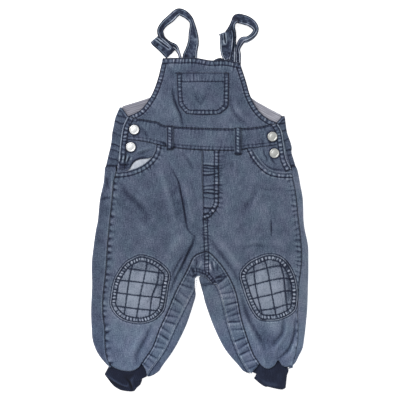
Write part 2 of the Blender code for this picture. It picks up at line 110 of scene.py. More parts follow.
def place_on(line, x, y):
    """For points x, y: how far along the line the nearest place is, and how far to its left they lie."""
    a, ab = line[:-1, :2], np.diff(line[:, :2], axis=0)
    size = (ab**2).sum(axis=1)
    run = distances(line[:, :2])
    dx, dy = x[:, None] - a[:, 0], y[:, None] - a[:, 1]
    t = np.clip((dx * ab[:, 0] + dy * ab[:, 1]) / size, 0, 1)
    far = np.hypot(dx - t * ab[:, 0], dy - t * ab[:, 1])
    best = far.argmin(axis=1)
    row = np.arange(len(x))
    side = np.sign(ab[best, 0] * dy[row, best] - ab[best, 1] * dx[row, best])
    return run[best] + t[row, best] * np.sqrt(size[best]), side * far[row, best]


def near_line(line, x, y, margin):
    """Which of the points x, y lie in the box round the line, widened by a margin."""
    low, high = line.min(axis=0) - margin, line.max(axis=0) + margin
    return np.flatnonzero((x > low[0]) & (x < high[0]) & (y > low[1]) & (y < high[1]))


def panel(left, right, upper, lower, step=1.3):
    """An even net of plan points between four lines. Rows run down, columns to the right."""
    sides = [
        smooth_line(line, 1.0) if len(line) > 2 else spread(np.array(line, float), 1.0)
        for line in (left, right, upper, lower)
    ]
    longest = [distances(line)[-1] for line in sides]
    rows = int(max(longest[:2]) / step) + 2
    columns = int(max(longest[2:]) / step) + 2
    t, s = np.linspace(0, 1, rows), np.linspace(0, 1, columns)
    first, last = (at(line, t * length) for line, length in zip(sides[:2], longest[:2]))
    start, end = (at(line, s * length) for line, length in zip(sides[2:], longest[2:]))
    t, s = t[:, None, None], s[None, :, None]
    ruled = first[:, None] * (1 - s) + last[:, None] * s + start[None] * (1 - t) + end[None] * t
    corners = (1 - t) * ((1 - s) * first[0] + s * last[0]) + t * ((1 - s) * first[-1] + s * last[-1])
    return ruled - corners


# %% [markdown]
# ## How the garment lies
#
# The legs lie like soft pillows: lowest at their side folds and highest along the middle. `loft` gives
# that height for any place. Its side folds are the garment's outline, so they are the most careful
# table here. `hills` adds smooth unevenness, made from a lattice of seeded random numbers.

# %% Outline and loft
SIDES = [  # y, left fold, right fold
    (206, -56, 60.8),
    (175, -62, 66.8),
    (150, -72, 75.8),
    (129, -90, 88.8),
    (118, -112, 110.8),
    (60, -128.5, 131),
    (48, -137.5, 140),
    (38, -139, 143.3),
    (23, -140.5, 146),
    (0, -145.5, 150),
    (-30, -148.5, 151),
    (-45, -151.5, 153),
    (-67, -154.6, 157.4),
    (-94, -157.4, 158),
    (-125, -157, 157.5),
    (-161, -158.4, 156.2),
    (-190, -157.4, 153.4),
    (-204, -156.2, 151.6),
    (-216, -152.4, 149.6),
    (-228, -146.2, 144),
    (-238, -138.6, 139.4),
    (-246, -131.6, 133),
    (-262, -118, 120.5),
]
INNER = [  # y, inner fold of the left leg, of the right leg
    (-50, 8, 8),
    (-105, -2.8, -1.8),
    (-112, -2.9, -1.7),
    (-114.5, -6.9, -1.2),
    (-120, -7.1, -0.4),
    (-129, -7.1, 2.1),
    (-139, -6, 5),
    (-152, -9.3, 8.2),
    (-184, -20.2, 19.8),
    (-216, -36.2, 35.4),
    (-239, -52.2, 54.2),
    (-252, -64, 69.4),
    (-262, -77, 80),
]
LOFT = [  # y, height at the folds, height along the middle
    (206, 6.3, 8.2),
    (170, 5.8, 8.6),
    (150, 6.0, 9.0),
    (128, 8.6, 10.4),
    (112, 9.6, 11.6),
    (60, 9.8, 13.0),
    (0, 9.8, 15.0),
    (-60, 9.8, 16.0),
    (-200, 9.8, 15.5),
    (-235, 9.8, 12.6),
    (-262, 9.6, 10.8),
]


def columns_at(table, y):
    """The table's columns after y, smoothly between its rows."""
    line = smooth_line(table, 1.0)[::-1]
    return [np.interp(y, line[:, 0], line[:, k]) for k in range(1, line.shape[1])]


def crown(x, low, high):
    """1 midway between low and high, and 0 at both."""
    return 1 - np.clip(np.abs((2 * x - low - high) / (high - low)), 0, 1) ** 3


def loft(x, y):
    """Height of the smooth top: one pillow above the crotch, and one for each leg below it."""
    edge, middle = columns_at(LOFT, y)
    left, right = columns_at(SIDES, y)
    inner_left, inner_right = columns_at(INNER, y)
    body = crown(x, left, right)
    on_left = 2 * x < inner_left + inner_right
    leg = np.where(on_left, crown(x, left, inner_left), crown(x, inner_right, right))
    part = ease(np.clip((-52 - y) / 60, 0, 1))
    return edge + (middle - edge) * (body * (1 - part) + leg * part)


LATTICE = 97  # random heights along each side of the hills' lattice, after which they repeat


def hills(x, y, size, seed):
    """Smooth random hills about one size across, from -1 to 1."""
    lattice = np.random.default_rng(seed).uniform(-1, 1, (LATTICE, LATTICE))
    u, v = np.asarray(x) / size + 41.3, np.asarray(y) / size + 37.7
    i, j = np.floor(u).astype(int), np.floor(v).astype(int)
    fu, fv = ease(u - i), ease(v - j)
    i, j, i1, j1 = i % LATTICE, j % LATTICE, (i + 1) % LATTICE, (j + 1) % LATTICE
    upper = lattice[i, j] * (1 - fu) + lattice[i1, j] * fu
    lower = lattice[i, j1] * (1 - fu) + lattice[i1, j1] * fu
    return upper * (1 - fv) + lower * fv


print("loft in the middle of the left thigh:", loft(np.array([-70.0]), np.array([-60.0])).round(2), "mm")

# %% [markdown]
# ## Creases
#
# A crease is a soft ridge or trough along a short line. Real ones are uneven, so each has its own
# length, width and height, and fades out at its ends. Troughs are negative.

# %% Creases
CREASES = [  # half width, height, points
    (
        1.3, -1.9,
        [
            (-46, 57), (-38.9, 41.4), (-30.9, 25), (-27.4, 9), (-22.8, -14), (-18.6, -40), (-13.5, -48),
            (-7, -53.5),
        ],
    ),
    (6.0, -0.8, [(-50, 48), (-43, 30), (-37, 8), (-32, -12), (-28, -34)]),
    (4.5, 1.6, [(-60, 55), (-54, 33), (-48, 11), (-43, -6), (-38, -24), (-32, -44)]),
    (2.6, 1.3, [(-24, 30), (-18, 5), (-13, -20), (-8, -38)]),
    (1.4, -1.0, [(-13, 31), (-7, 5), (-2, -16)]),
    (3.9, -1.8, [(-119, 32), (-109, 12), (-92, -5), (-80, -19), (-77, -40)]),
    (4.0, 1.0, [(-112, 30), (-98, 10), (-84, 0), (-73, -14)]),
    (2.6, -1.3, [(-26, 69), (-17, 57), (-12, 48), (-10, 38)]),
    (3.0, 1.0, [(-20, 70), (-11, 57), (-6, 46)]),
    (1.8, -2.1, [(-39.5, 168), (-38.2, 149), (-32.6, 133.5), (-27, 120), (-24.4, 103)]),
    (2.5, 1.0, [(-44, 160), (-43, 145), (-38, 131), (-32.5, 118), (-29, 107)]),
    (2.4, -1.7, [(45, 152), (44.6, 140), (48.8, 127), (57.7, 115.7), (70, 107.5)]),
    (2.6, 0.9, [(51, 148), (53, 134), (60, 123), (72, 114)]),
    (1.6, -1.0, [(47, 57), (47, 48), (46, 38)]),
    (2.5, 0.7, [(50, 60), (51, 46), (50, 34)]),
    (4.2, -1.1, [(81, 14), (75, 0), (67, -12), (59, -25)]),
    (3.6, -0.8, [(67, 46), (63, 33), (57, 19)]),
    (4.2, 0.9, [(90, 16), (85, 2), (76, -12)]),
    (1.1, -1.9, [(103, -29), (103.5, -42), (104, -54)]),
    (2.2, -0.9, [(80, 22), (96, 14), (118, 15), (131, 11)]),
    (2.2, -1.0, [(62, -71), (78, -67), (100, -69)]),
    (2.4, 0.8, [(66, -65), (80, -61), (98, -63)]),
    (
        1.9, -3.0,
        [(-6.5, -51), (-10.3, -64), (-18, -79), (-25.4, -96), (-33, -110), (-39, -125), (-45, -141)],
    ),
    (1.5, -1.8, [(-17, -70), (-22, -78), (-31, -92), (-37, -105), (-42, -122)]),
    (2.2, 1.0, [(-14, -66), (-22, -83), (-30, -99), (-37, -113)]),
    (1.7, -1.6, [(-46, -120), (-50, -146), (-58, -166), (-66, -180)]),
    (5.0, 1.4, [(-22, -50), (-38, -68), (-47, -88)]),
    (2.4, -2.1, [(14, -56), (29, -77), (43, -95.5), (53, -112), (60, -127)]),
    (4.0, 1.4, [(24, -54), (39, -73), (52, -90), (60, -104)]),
    (2.6, -2.6, [(58, -130), (64, -150), (69, -168), (78, -186), (88, -202), (96, -221)]),
    (3.0, 1.4, [(66, -172), (74, -192), (82, -210), (86, -224)]),
    (11.0, -1.3, [(84, -184), (93, -200), (103, -216)]),
    (2.6, -2.6, [(121, -168), (121, -183), (118.5, -195), (111, -205), (104, -214)]),
    (3.2, 1.6, [(126, -176), (125, -192), (116, -206), (109, -218), (106, -234)]),
    (1.9, -3.2, [(111, -232), (121, -225.5), (129, -216.5), (134, -205), (137.5, -190), (138.5, -170)]),
    (3.0, 1.4, [(122, -234), (132, -222), (138.5, -206)]),
    (3.2, 1.4, [(92, -243), (93, -234), (90, -226)]),
    (2.6, -2.3, [(-69, -181), (-77, -199), (-85, -214), (-91, -227), (-91, -242)]),
    (3.0, 1.4, [(-63, -188), (-72, -204), (-80, -218), (-84, -230)]),
    (3.4, 1.3, [(-80, -186), (-90, -204), (-98, -222), (-98, -238)]),
    (1.4, -0.9, [(-73, -200), (-77, -212), (-82, -222)]),
    (1.6, -0.9, [(-104, -196), (-108, -208), (-104, -218)]),
    (2.4, -1.0, [(-55, 196), (-40, 186), (-38, 172)]),
    (2.2, 1.2, [(-94, 84), (-82, 89), (-70, 87)]),
    (2.4, -1.4, [(-86, 104), (-78, 95), (-76, 86)]),
    (1.8, -1.4, [(-92, 64), (-80, 68.5), (-69, 72)]),
    (2.0, 1.2, [(-92, 69), (-80, 73), (-69, 76)]),
    (2.4, -1.4, [(90, 90), (92, 82), (89, 75)]),
    (2.0, 0.9, [(95, 88), (97, 80), (95, 74)]),
]
MARKS = [  # half width, rise, how much paler, points: small tight folds, with wear and painted light and shade on them, and a few painted shadow lines
    (1.4, -1.2, -0.80, [(-121, 65.5), (-118.5, 55.5), (-114.5, 50.5)]),
    (1.3, -0.9, -0.80, [(-117, 50.5), (-110, 50.2), (-102.5, 50.8)]),
    (1.1, -0.9, -0.60, [(-112.4, 64), (-114.5, 57), (-116, 53.5)]),
    (1.1, -0.9, -0.60, [(-107, 63), (-108.6, 56.5), (-110, 52)]),
    (1.1, -0.9, -0.60, [(-101, 62.5), (-104.3, 56.5), (-106.5, 52)]),
    (1.1, 1.0, 0.60, [(-114.6, 64.5), (-116.2, 58.5), (-117.6, 54.5)]),
    (1.1, 1.0, 0.60, [(-109.8, 65), (-111.3, 58.5), (-112.2, 53)]),
    (1.1, 1.0, 0.55, [(-104, 64.5), (-106, 58.5), (-107.6, 53)]),
    (1.1, 0.6, 0.40, [(-98.3, 62), (-101.3, 56.5)]),
    (
        1.1, -0.5, -0.34,
        [(-38.9, 41.4), (-30.9, 25), (-27.4, 9), (-22.8, -14), (-18.6, -40), (-13.5, -48), (-7, -53.5)],
    ),
    (2.2, -0.5, -0.22, [(-6.5, -50), (-10.5, -64), (-17.5, -78), (-26, -96)]),
    (1.6, -0.5, -0.26, [(-144, -0.5), (-136, 2), (-127, 3)]),
    (2.2, -0.6, -0.22, [(-136.5, 33), (-135, 24), (-133, 16)]),
    (1.3, 0.3, 0.24, [(-127.4, 42), (-128, 28), (-128.5, 12)]),
    # a soft dip, painted as a shadow along the right side of the right knee patch
    (4.5, -0.3, -0.22, [(124, -90), (128, -112), (129, -132), (127, -152)]),
    (1.2, -0.5, -0.22, [(-61, -118), (-65, -130), (-70, -141), (-79, -151)]),
    (4.0, -0.2, -0.10, [(-56, -104), (-56, -125), (-62, -150)]),
    (1.5, -0.6, -0.42, [(-58, 84), (-51, 80.5), (-46, 75)]),
    (1.2, -0.4, -0.38, [(-46, 73.5), (-39, 74.6), (-33, 79)]),
    (1.2, -0.4, -0.42, [(49, 67.5), (56, 65.6), (63, 66.8)]),
    (1.5, -0.5, -0.40, [(-113, -97.5), (-110, -100.5), (-107.5, -103.5)]),
    (1.5, -0.5, -0.40, [(-57.5, -92.5), (-55.8, -94.5), (-54, -98)]),
    (1.2, -0.4, -0.36, [(-121.5, -131), (-118.5, -134)]),
    (1.3, -0.4, -0.36, [(-57, -157), (-54.5, -160.5)]),
    (1.2, -0.4, -0.36, [(86, -171), (91, -173.5), (97, -174.5)]),
    (1.4, -0.4, -0.32, [(124, -88), (128, -92), (130, -97)]),
    (1.0, -0.6, -0.30, [(75, 71.5), (79, 63), (85, 54.5), (93, 46.5)]),
    (1.0, -0.6, -0.30, [(69.5, 71.5), (74, 60), (80.5, 50.5), (89.5, 41)]),
    (1.3, 0.5, 0.14, [(72.5, 70), (76.5, 60.5), (83.5, 51.5), (92, 43.5)]),
    (1.2, -0.3, -0.20, [(-38.6, 156), (-37.6, 147), (-32.6, 133.5), (-27, 120), (-24.4, 104)]),
    (1.1, -0.3, -0.20, [(103, -31), (103.5, -43), (104, -55)]),
    (2.4, -0.3, -0.24, [(-119, 47), (-110, 46.5), (-102, 46)]),
    # painted shadow under the left side panel's edge, above the pocket bag
    (1.2, -0.6, -0.42, [(-102, 46), (-96, 55), (-88, 59.5), (-76, 61)]),
    (1.2, -0.8, -0.28, [(92, 74), (93, 66), (97, 60), (96, 53)]),
    (1.0, 0.5, 0.16, [(89, 73), (89.5, 65), (93, 58)]),
    (1.2, -0.8, -0.28, [(103, 62), (106, 55), (111, 50)]),
    (1.0, 0.5, 0.16, [(99, 60), (104, 51)]),
    # painted shadow inside the right pocket's mouth
    (1.3, -0.6, -0.34, [(87, 61), (91, 54.5), (97, 48.5), (105, 44.2), (116, 42.6), (128, 42)]),
    (1.0, -0.4, -0.34, [(-106, 118), (-102, 112), (-103, 106)]),
    (1.0, -0.4, -0.34, [(-98, 112.5), (-92, 113), (-86, 117)]),
    (1.0, 0.4, 0.22, [(-97, 115.5), (-91, 116.5)]),
    (1.2, -0.6, -0.40, [(-5, -86), (-4.5, -93), (-7, -99)]),
    (1.0, 0.5, 0.28, [(-8.5, -88), (-10.5, -96)]),
    (1.1, 0.6, 0.30, [(-2, -99), (1, -94), (2, -88)]),
    (1.2, -0.6, -0.42, [(-14, -99), (-9, -104), (-9.5, -109)]),
    (1.4, -0.6, -0.42, [(-11, -113), (-7, -110), (-3, -108.5)]),
    (1.2, 0.6, 0.34, [(14, -90), (14.5, -97), (17, -104)]),
    (1.2, 0.5, 0.28, [(20, -89), (22, -98)]),
    (1.2, -0.6, -0.36, [(16.5, -88), (18.5, -97), (20, -104)]),
    (1.2, -0.5, -0.30, [(24.5, -94), (26, -104)]),
    (1.5, -1.0, -0.46, [(22, -113), (30, -112.5), (41, -110)]),
    (1.3, -0.7, -0.38, [(23.5, -118.5), (32, -116)]),
    (1.6, -0.6, -0.40, [(17, -117), (24, -121.5)]),
    (1.3, -0.4, -0.46, [(2.5, -125), (11, -123), (20.5, -121)]),
    (0.9, -0.3, -0.55, [(-37, 183.4), (-32, 183.6), (-26, 183.2)]),
    (0.9, -0.3, -0.55, [(35, 183.4), (39, 183.6), (43.6, 182.6)]),
    (1.1, -0.3, -0.50, [(3.5, -27.5), (6, -28.3), (9, -29)]),
    (0.9, 0.3, 0.25, [(4, -24.5), (9, -25.5)]),
]
# Heights of the fly's cross folds; the upper eight go on a little past the fly.
FLY_FOLDS = [48.5, 45.0, 41.0, 36.0, 19.5, 13.5, 9.0, 2.0, -12.0, -20.0, -26.0]
MARKS += [(0.8, -0.4, -0.30, [(27, y), (30, y + 0.6), (33.5, y - 0.3)]) for y in FLY_FOLDS[:8]]
BUTTONS = {  # x, y, how far each sits above the cloth
    "button_upper_left": (-95, 101, 0.4),
    "button_lower_left": (-100, 76, -1.2),
    "button_upper_right": (105, 91, 0.4),
    "button_lower_right": (108, 67, -1.2),
}
BUTTON_SHADOW_RING = 7.4  # radius of the ring of painted shadow round each button


def stroke(x, y, width, points):
    """The points near a short line, and how strong it is there: 1 on the line, 0 at its sides and ends."""
    line = smooth_line(points, 4.0)
    near = near_line(line, x, y, 3 * width)
    along, out = place_on(line, x[near], y[near])
    fade = np.sin(np.pi * np.clip(along / distances(line)[-1], 0, 1)) ** 0.6
    return near, fade * bell(out, width)


def creases(x, y):
    """Rise of the big creases alone."""
    rise = np.zeros_like(x)
    for width, height, points in CREASES:
        near, strength = stroke(x, y, width, points)
        rise[near] += height * strength
    return rise


def marks(x, y, rise, worn):
    """Adds the small folds with their painted shade and highlights, and a ring of painted shadow round each
    button.
    """
    for width, height, paler, points in MARKS:
        near, strength = stroke(x, y, width, points)
        rise[near] += height * strength
        worn[near] += paler * strength
    # A ring of painted shadow round each button.
    for spot_x, spot_y, _ in BUTTONS.values():
        worn -= 0.30 * bell(np.hypot(x - spot_x, y - spot_y) - BUTTON_SHADOW_RING, 1.5)


def lie(x, y):
    """Height of the top cloth without its seams, in millimetres."""
    soft = 0.8 * hills(x, y, 31, 3) + 0.45 * hills(x, y, 13, 4) + 0.2 * hills(x, y, 6, 5)
    return loft(x, y) + creases(x, y) + soft


print(len(CREASES), "creases and", len(MARKS), "small marks")

# %% [markdown]
# ## Seams
#
# Washed denim shows its seams most of all: the thread pulls the cloth into beads between the two rows
# of a double topstitch, and into short ticks beside it. The raised spots wear pale in the wash and the
# hollows keep their dark indigo. So each seam adds to two fields: the height of the cloth, and a tone
# from 0 for dark to 1 for pale, which the denim material reads as an attribute; a few seam rows also add
# painted shadow and painted highlight beside folded edges.

# %% A seam adds relief and wear
seams = {}
SEAM_REACH = 16  # no seam changes the cloth farther away than this
SEAM_LOOKS = {
    "pitch": 5.2,  # from one pucker to the next
    "tick": 0.8,  # half width of the pinch between two puckers
    "reach": 4.0,  # how far the puckers run into the cloth
    "back": 0.0,  # and back over the seam's edge
    "strength": 1.0,  # of the puckers
    "band": 0.36,  # how worn the band of beads is
    "depth": 1.0,  # contrast of the beads and rows
}


def seam(name, points, side, rows=(), beads=None, **looks):
    """side is 1 if the sewn cloth lies left of the line's run and -1 if right.

    rows are distances into it, each with its strength if that isn't 1; a strength below 0 is a pale line.
    beads are the two distances between which the cloth stands up in beads, if it does.
    """
    looks = {**SEAM_LOOKS, **looks}
    line = smooth_line(points)
    closed = np.allclose(line[0], line[-1])
    if not closed:
        ends = [2 * line[0] - line[1], 2 * line[-1] - line[-2]]
        line = np.vstack([line[0] + 1.5 * (ends[0] - line[0]), line, line[-1] + 1.5 * (ends[1] - line[-1])])
    length = distances(line)[-1]
    chance = np.random.default_rng(sum(map(ord, name)))
    spots, spot = [], chance.uniform(0.2, 0.8) * looks["pitch"]
    while spot < length:
        spots.append((spot, *chance.uniform((0.3, 0.5, -0.3), (1.05, 1.4, 0.3))))
        spot += looks["pitch"] * chance.uniform(0.7, 1.35)
    rows = [row if isinstance(row, tuple) else (row, 1.0) for row in rows]
    sewn = [row for row, force in rows if force > 0]
    beads, banded = beads or (min(sewn), max(sewn)), beads is not None
    seams[name] = looks | dict(
        line=line, side=side, rows=rows, beads=beads, banded=banded, spots=spots, closed=closed,
    )


def sew(x, y, names, rise, worn):
    """Adds the named seams to the rise and worn fields of the points x, y."""
    for name in names:
        s = seams[name]
        line = s["line"]
        near = near_line(line, x, y, SEAM_REACH)
        if not len(near):
            continue
        along, out = place_on(line, x[near], y[near])
        out = out * s["side"]
        close = np.abs(out) < SEAM_REACH
        if not s["closed"]:
            close &= (along > 0.01) & (along < distances(line)[-1] - 0.01)
        near, along, out = near[close], along[close], out[close]
        outer, inner = s["beads"]
        pull, pinch = np.zeros_like(along), np.zeros_like(along)
        for spot, force, spread_by, slant in s["spots"]:
            into = bell(np.maximum(out - inner, 0), s["reach"] * spread_by)
            if s["back"]:
                into = into * bell(np.maximum(outer - out, 0), s["back"] * spread_by)
            else:
                into = into * (out > outer - 0.6)
            step = along - spot - slant * (out - inner)
            pull = np.maximum(pull, force * into * bell(step, 0.27 * s["pitch"]))
            pinch = np.maximum(pinch, force * into * bell(step - 0.45 * s["pitch"], s["tick"]))
        band = np.zeros_like(along)
        if s["banded"]:
            middle, half = (outer + inner) / 2, (inner - outer) / 2
            band = np.clip(1.3 - np.abs(out - middle) / half, 0, 1)
        beside = (1 - band) * s["strength"]
        rise[near] += 0.9 * pull * band + beside * (0.5 * pull - 0.45 * pinch)
        in_band = s["band"] + s["depth"] * (0.5 * pull - 0.34 * pinch)
        worn[near] = worn[near] * (1 - 0.9 * band) + 0.9 * band * in_band
        worn[near] += beside * (0.2 * pull - 0.38 * pinch)
        for row, force in s["rows"]:
            groove = force * bell(out - row, 0.78)
            rise[near] -= 0.5 * groove
            worn[near] -= 0.5 * s["depth"] * groove
    return rise, worn


# %% The seams of the front
WAIST_TOP = [
    (-105, 120), (-87, 116), (-63, 112), (-48, 106), (1, 103), (50, 102), (82, 104), (101, 108), (113, 110),
]
WAIST_LOW = [
    (-115, 88), (-80, 84), (-63, 80), (-37, 75), (1, 72), (50, 71), (69, 74), (81, 75), (111, 79),
    (122, 82),
]
CENTRE = [(3, 71), (4, 20), (8, -30), (9, -60), (9.5, -75)]
OUTSEAM = {
    "left": [
        (-121, 40), (-125, 24), (-126, 10), (-128, -11), (-131, -39), (-133.4, -66), (-136, -104),
        (-140, -141), (-140, -168), (-137.5, -186), (-137, -210), (-134.8, -229), (-130.5, -239.5),
    ],
    "right": [
        (133, 38), (139, 8), (143, -30), (145.5, -50), (147.5, -88), (143.5, -122), (141.5, -153),
        (142, -181), (142, -203), (140.4, -214), (137.4, -230), (133.8, -240.5),
    ],
}
STRIP_FRONT = {
    "left": [
        (9.5, -75), (-8, -83), (-18, -103), (-34, -133), (-47, -164), (-58, -188), (-68, -214), (-84, -238),
    ],
    "right": [
        (9.5, -75), (19, -82), (37, -104), (51, -133), (59, -170), (68, -200), (77, -224), (86, -238),
    ],
}
STRIP_BACK = {
    "left": [
        (9.5, -113), (4, -111.4), (-0.5, -111.4), (-5, -112.2), (-7.1, -115.5), (-7.6, -122), (-8.8, -129),
        (-13.8, -138.2), (-17.9, -146.4), (-26, -162), (-38, -187), (-49, -212), (-60, -230),
        (-68.5, -241.5), (-75.4, -251), (-76.2, -257),
    ],
    "right": [
        (9.5, -113), (13.3, -117.8), (18, -122.6), (24.6, -123.6), (28, -130), (33, -146), (43, -186),
        (55, -220), (67, -243), (74.6, -253),
    ],
}
BIB_SIDE = {
    "left": [(-54, 205.5), (-61.5, 175), (-71, 151), (-86, 130.5), (-105, 120.5)],
    "right": [(58.5, 198.5), (67, 173), (74, 149.5), (85, 130), (98, 118), (113.5, 111)],
}
BIB_TOP = [(-54, 205.5), (-30, 206), (-6, 205.8), (16, 202.3), (36, 202.8), (58.5, 198.5)]
POCKET_RIM = [
    (-33.6, 184), (-33, 160), (-31.2, 140), (-29, 134.6), (-20.6, 124.8), (-12, 122.8), (22, 122.4),
    (29.4, 124.2), (38.6, 131.6), (41.6, 138), (42.6, 184),
]
FLY_CURVE = [(27.4, 70), (27.6, 30), (27.4, 8), (27, -5), (24, -14), (18.5, -21.5), (13, -26.3), (8, -29)]
turn = np.linspace(np.pi / 2, 0, 9)
POCKET = {  # the left one is a quarter of an ellipse
    "left": [(-121 + 57 * math.cos(a), 79 - 39 * math.sin(a)) for a in turn],
    "right": [
        (133, 39.5), (123, 39.7), (113, 40.6), (104, 42.8), (97.5, 46.8), (91, 53), (86.3, 59), (81.3, 66),
        (77, 74),
    ],
}

# Each knee patch: its outline, and the check lines that run down and across it.
KNEES = {
    "left": {
        "middle": (-87, -131),
        "outline": [
            (-83, -81), (-61, -89), (-44, -106), (-46, -127), (-49, -146), (-53, -161), (-67, -174),
            (-88, -179), (-113, -173), (-128, -156), (-128, -137), (-123, -115), (-110, -94), (-97, -85),
            (-83, -81),
        ],
        "down": [
            [(-95, -86), (-101, -110), (-105, -136), (-109, -166)],
            [(-75, -88), (-82, -120), (-86, -139), (-92, -173)],
            [(-58, -96), (-60, -110), (-62, -122), (-69, -140), (-73, -170)],
        ],
        "across": [
            [(-110, -99), (-78, -103), (-49, -107)], [(-122, -116), (-82, -120), (-48, -125)],
            [(-124, -134), (-86, -139), (-52, -142)], [(-127, -153), (-89, -158), (-53, -161)],
        ],
    },
    "right": {
        "middle": (99, -128),
        "outline": [
            (100, -79), (117, -83), (129, -95), (137, -111), (141, -130), (140, -153), (134, -164),
            (117, -173), (100, -175), (86, -173), (77, -163), (69, -147), (63, -130), (58, -108), (68, -93),
            (83, -84), (100, -79),
        ],
        "down": [
            [(77, -92), (80, -122), (84, -142), (90, -166)],
            [(92.5, -85), (97, -99), (100.5, -117), (104, -137), (110, -169)],
            [(114, -88), (120, -106), (122, -122), (124, -141), (127, -163)],
        ],
        "across": [
            [(61, -109), (97, -99), (114, -96), (127, -99)],
            [(67, -126), (100.5, -117), (121.5, -114), (137, -116)],
            [(72, -144), (104, -137), (124, -132), (139, -134)],
            [(83, -161), (107, -157), (124, -152), (138, -151)],
        ],
    },
}

seam("bib top", BIB_TOP, -1, (1.0, 7.6, (9.2, -0.2)), (1.9, 6.8), reach=4, pitch=4.8, depth=1.2)
seam("bib pocket rim", POCKET_RIM, 1, (0.9, 6.4), (1.7, 5.6), reach=2.5, pitch=4.8, depth=1.1)
opening = [(-27.6, 170.8), (5, 171.2), (37, 170.8)]
seam("bib pocket hem", opening, 1, ((0, 0.8),), reach=9, strength=0.8, pitch=4.4)
seam("waist top", WAIST_TOP, -1, ((-0.2, 0.3), (1.6, 0.75)), reach=6, back=2, strength=0.45, pitch=5)
seam("waist low", WAIST_LOW, 1, ((0.2, 0.8), (4.8, 0.4)), reach=3, back=4.5, strength=0.6)
seam("fly", FLY_CURVE, -1, (0.5, 6.4), (1.3, 5.6), reach=2.5, back=6, band=0.42, depth=1.3)
LOW_CENTRE = [(8, -30), (9, -60), (10, -84), (10, -105)]
seam("centre", LOW_CENTRE, 1, (-3.0, 2.6), (-2.2, 1.8), back=4, pitch=4.6, band=0.44, depth=1.2)
rows = (0.3, -0.4), (2.0, 1.3), (7.6, 1.3)
curve = POCKET["left"]
seam("pocket left", curve, -1, rows, (2.8, 6.8), reach=5, pitch=6, band=0.46, strength=1.1, depth=0.8)
# The first pale row, on the opening's folded edge, is a painted highlight.
rows = (0.6, -0.5), (2.6, 1.7), (8.0, 1.7), (9.6, -0.4)
seam("pocket right", POCKET["right"], 1, rows, (3.4, 7.2), pitch=6, band=0.5, strength=1.2, depth=0.9)
rows = (0.8, 0.4), (-1.8, -0.35)
seam("outseam left", OUTSEAM["left"], 1, rows, reach=5, pitch=9.5, strength=1.5, tick=1.7)
rows = (0.7, 0.45), (5.4, 0.15)
seam("outseam right", OUTSEAM["right"][:6], -1, rows, pitch=7.6, strength=0.85, tick=1.3)
rows = (0.7, 0.2), (-1.0, -0.2)
seam("outseam right low", OUTSEAM["right"][5:], -1, rows, reach=2.2, pitch=12, tick=1.8)
ARC = [(-9, -104.5), (-4, -105), (1.5, -106.5), (8, -109.2), (13.3, -114.6), (18.5, -121.5)]
rows = (0.3, 0.75), (4.6, 0.75)
seam("crotch arc", ARC, 1, rows, (0.9, 4.0), pitch=3.8, reach=2, back=2, band=0.42, tick=0.9)
for side, sign, below_arc in (("left", 1, 4), ("right", -1, 3)):
    rows = 0.8, 6.9, (8.5, -0.2)
    seam(f"bib {side}", BIB_SIDE[side], sign, rows, (1.6, 6.1), reach=3, pitch=4.8, depth=1.2)
    # The third, outermost row is a painted shadow beside the strip's front edge.
    rows = 0.5, (-1.6, -0.4), (-3.2, 0.25)
    seam(f"strip front {side}", STRIP_FRONT[side], -sign, rows, reach=2, back=2, pitch=5, strength=0.4)
    # The pale row at the strip's folded back edge is a painted highlight.
    rows = (2.6, 0.6), (0.7, -0.5)
    line = STRIP_BACK[side][below_arc:]
    seam(f"strip back {side}", line, sign, rows, reach=3, back=3, strength=0.5, pitch=6)
    rim = KNEES[side]["outline"]
    beaded = {"pitch": 4.7, "reach": 2.2, "strength": 0.9, "band": 0.3, "tick": 1.2, "depth": 1.8}
    seam(f"knee {side}", rim, -1, (2.1, 7.9), (2.8, 7.0), **beaded)
    # The dark row just outside the patch is a painted shadow of the raised patch; a faint paler line lies
    # beyond it.
    seam(f"knee edge {side}", rim, -1, ((-0.9, 0.7), (-2.4, -0.3)), pitch=5, reach=1, back=3, strength=0.4)
print(len(seams), "seams,", sum(len(s["spots"]) for s in seams.values()), "puckers")

# %% [markdown]
# ## Finishes
#
# Denim is woven from indigo warp and pale weft, so its face shows a fine diagonal twill and long slubs
# along the warp. The wash leaves soft clouds. All of it is mixed onto one attribute that holds the wear
# together with the painted shade and highlights of creases, folds and edges, and one colour ramp turns the
# sum into colour: navy in the hollows, grey blue on the face, pale on the beads.


# %% Node helpers
def srgb(red, green, blue):
    return (*[((c / 255 + 0.055) / 1.055) ** 2.4 for c in (red, green, blue)], 1.0)


def new_finish(name):
    """A new material: one function that adds a fed node to it, and one that feeds its shader."""
    made = bpy.data.materials.new(name)
    made.use_nodes = True
    tree = made.node_tree

    def feed(node, inputs):
        """Links or sets a node's inputs, called by name or, as i0 and i1, by number."""
        for key, value in inputs.items():
            slot = node.inputs[int(key[1:]) if key[1:].isdigit() else key.replace("_", " ")]
            if isinstance(value, bpy.types.NodeSocket):
                tree.links.new(value, slot)
            else:
                slot.default_value = value
        return node

    def add(kind, settings=None, **inputs):
        node = tree.nodes.new("ShaderNode" + kind)
        for key, value in (settings or {}).items():
            setattr(node, key, value)
        return feed(node, inputs)

    def paint(colour, relief=None, distance=0.0002, strength=0.4, **inputs):
        """Gives the shader its colour, the relief of the weave and its other inputs."""
        shader = feed(tree.nodes["Principled BSDF"], {"Base_Color": colour, **inputs})
        if relief:
            bump = add("Bump", Height=relief, Distance=distance, Strength=strength)
            feed(shader, {"Normal": bump.outputs[0]})
        return made

    return add, paint


def ramp(add, factor, stops):
    node = add("ValToRGB", Fac=factor)
    for k, (place, colour) in enumerate(stops):
        stop = node.color_ramp.elements[k] if k < 2 else node.color_ramp.elements.new(place)
        stop.position = place
        stop.color = colour
    return node.outputs["Color"]


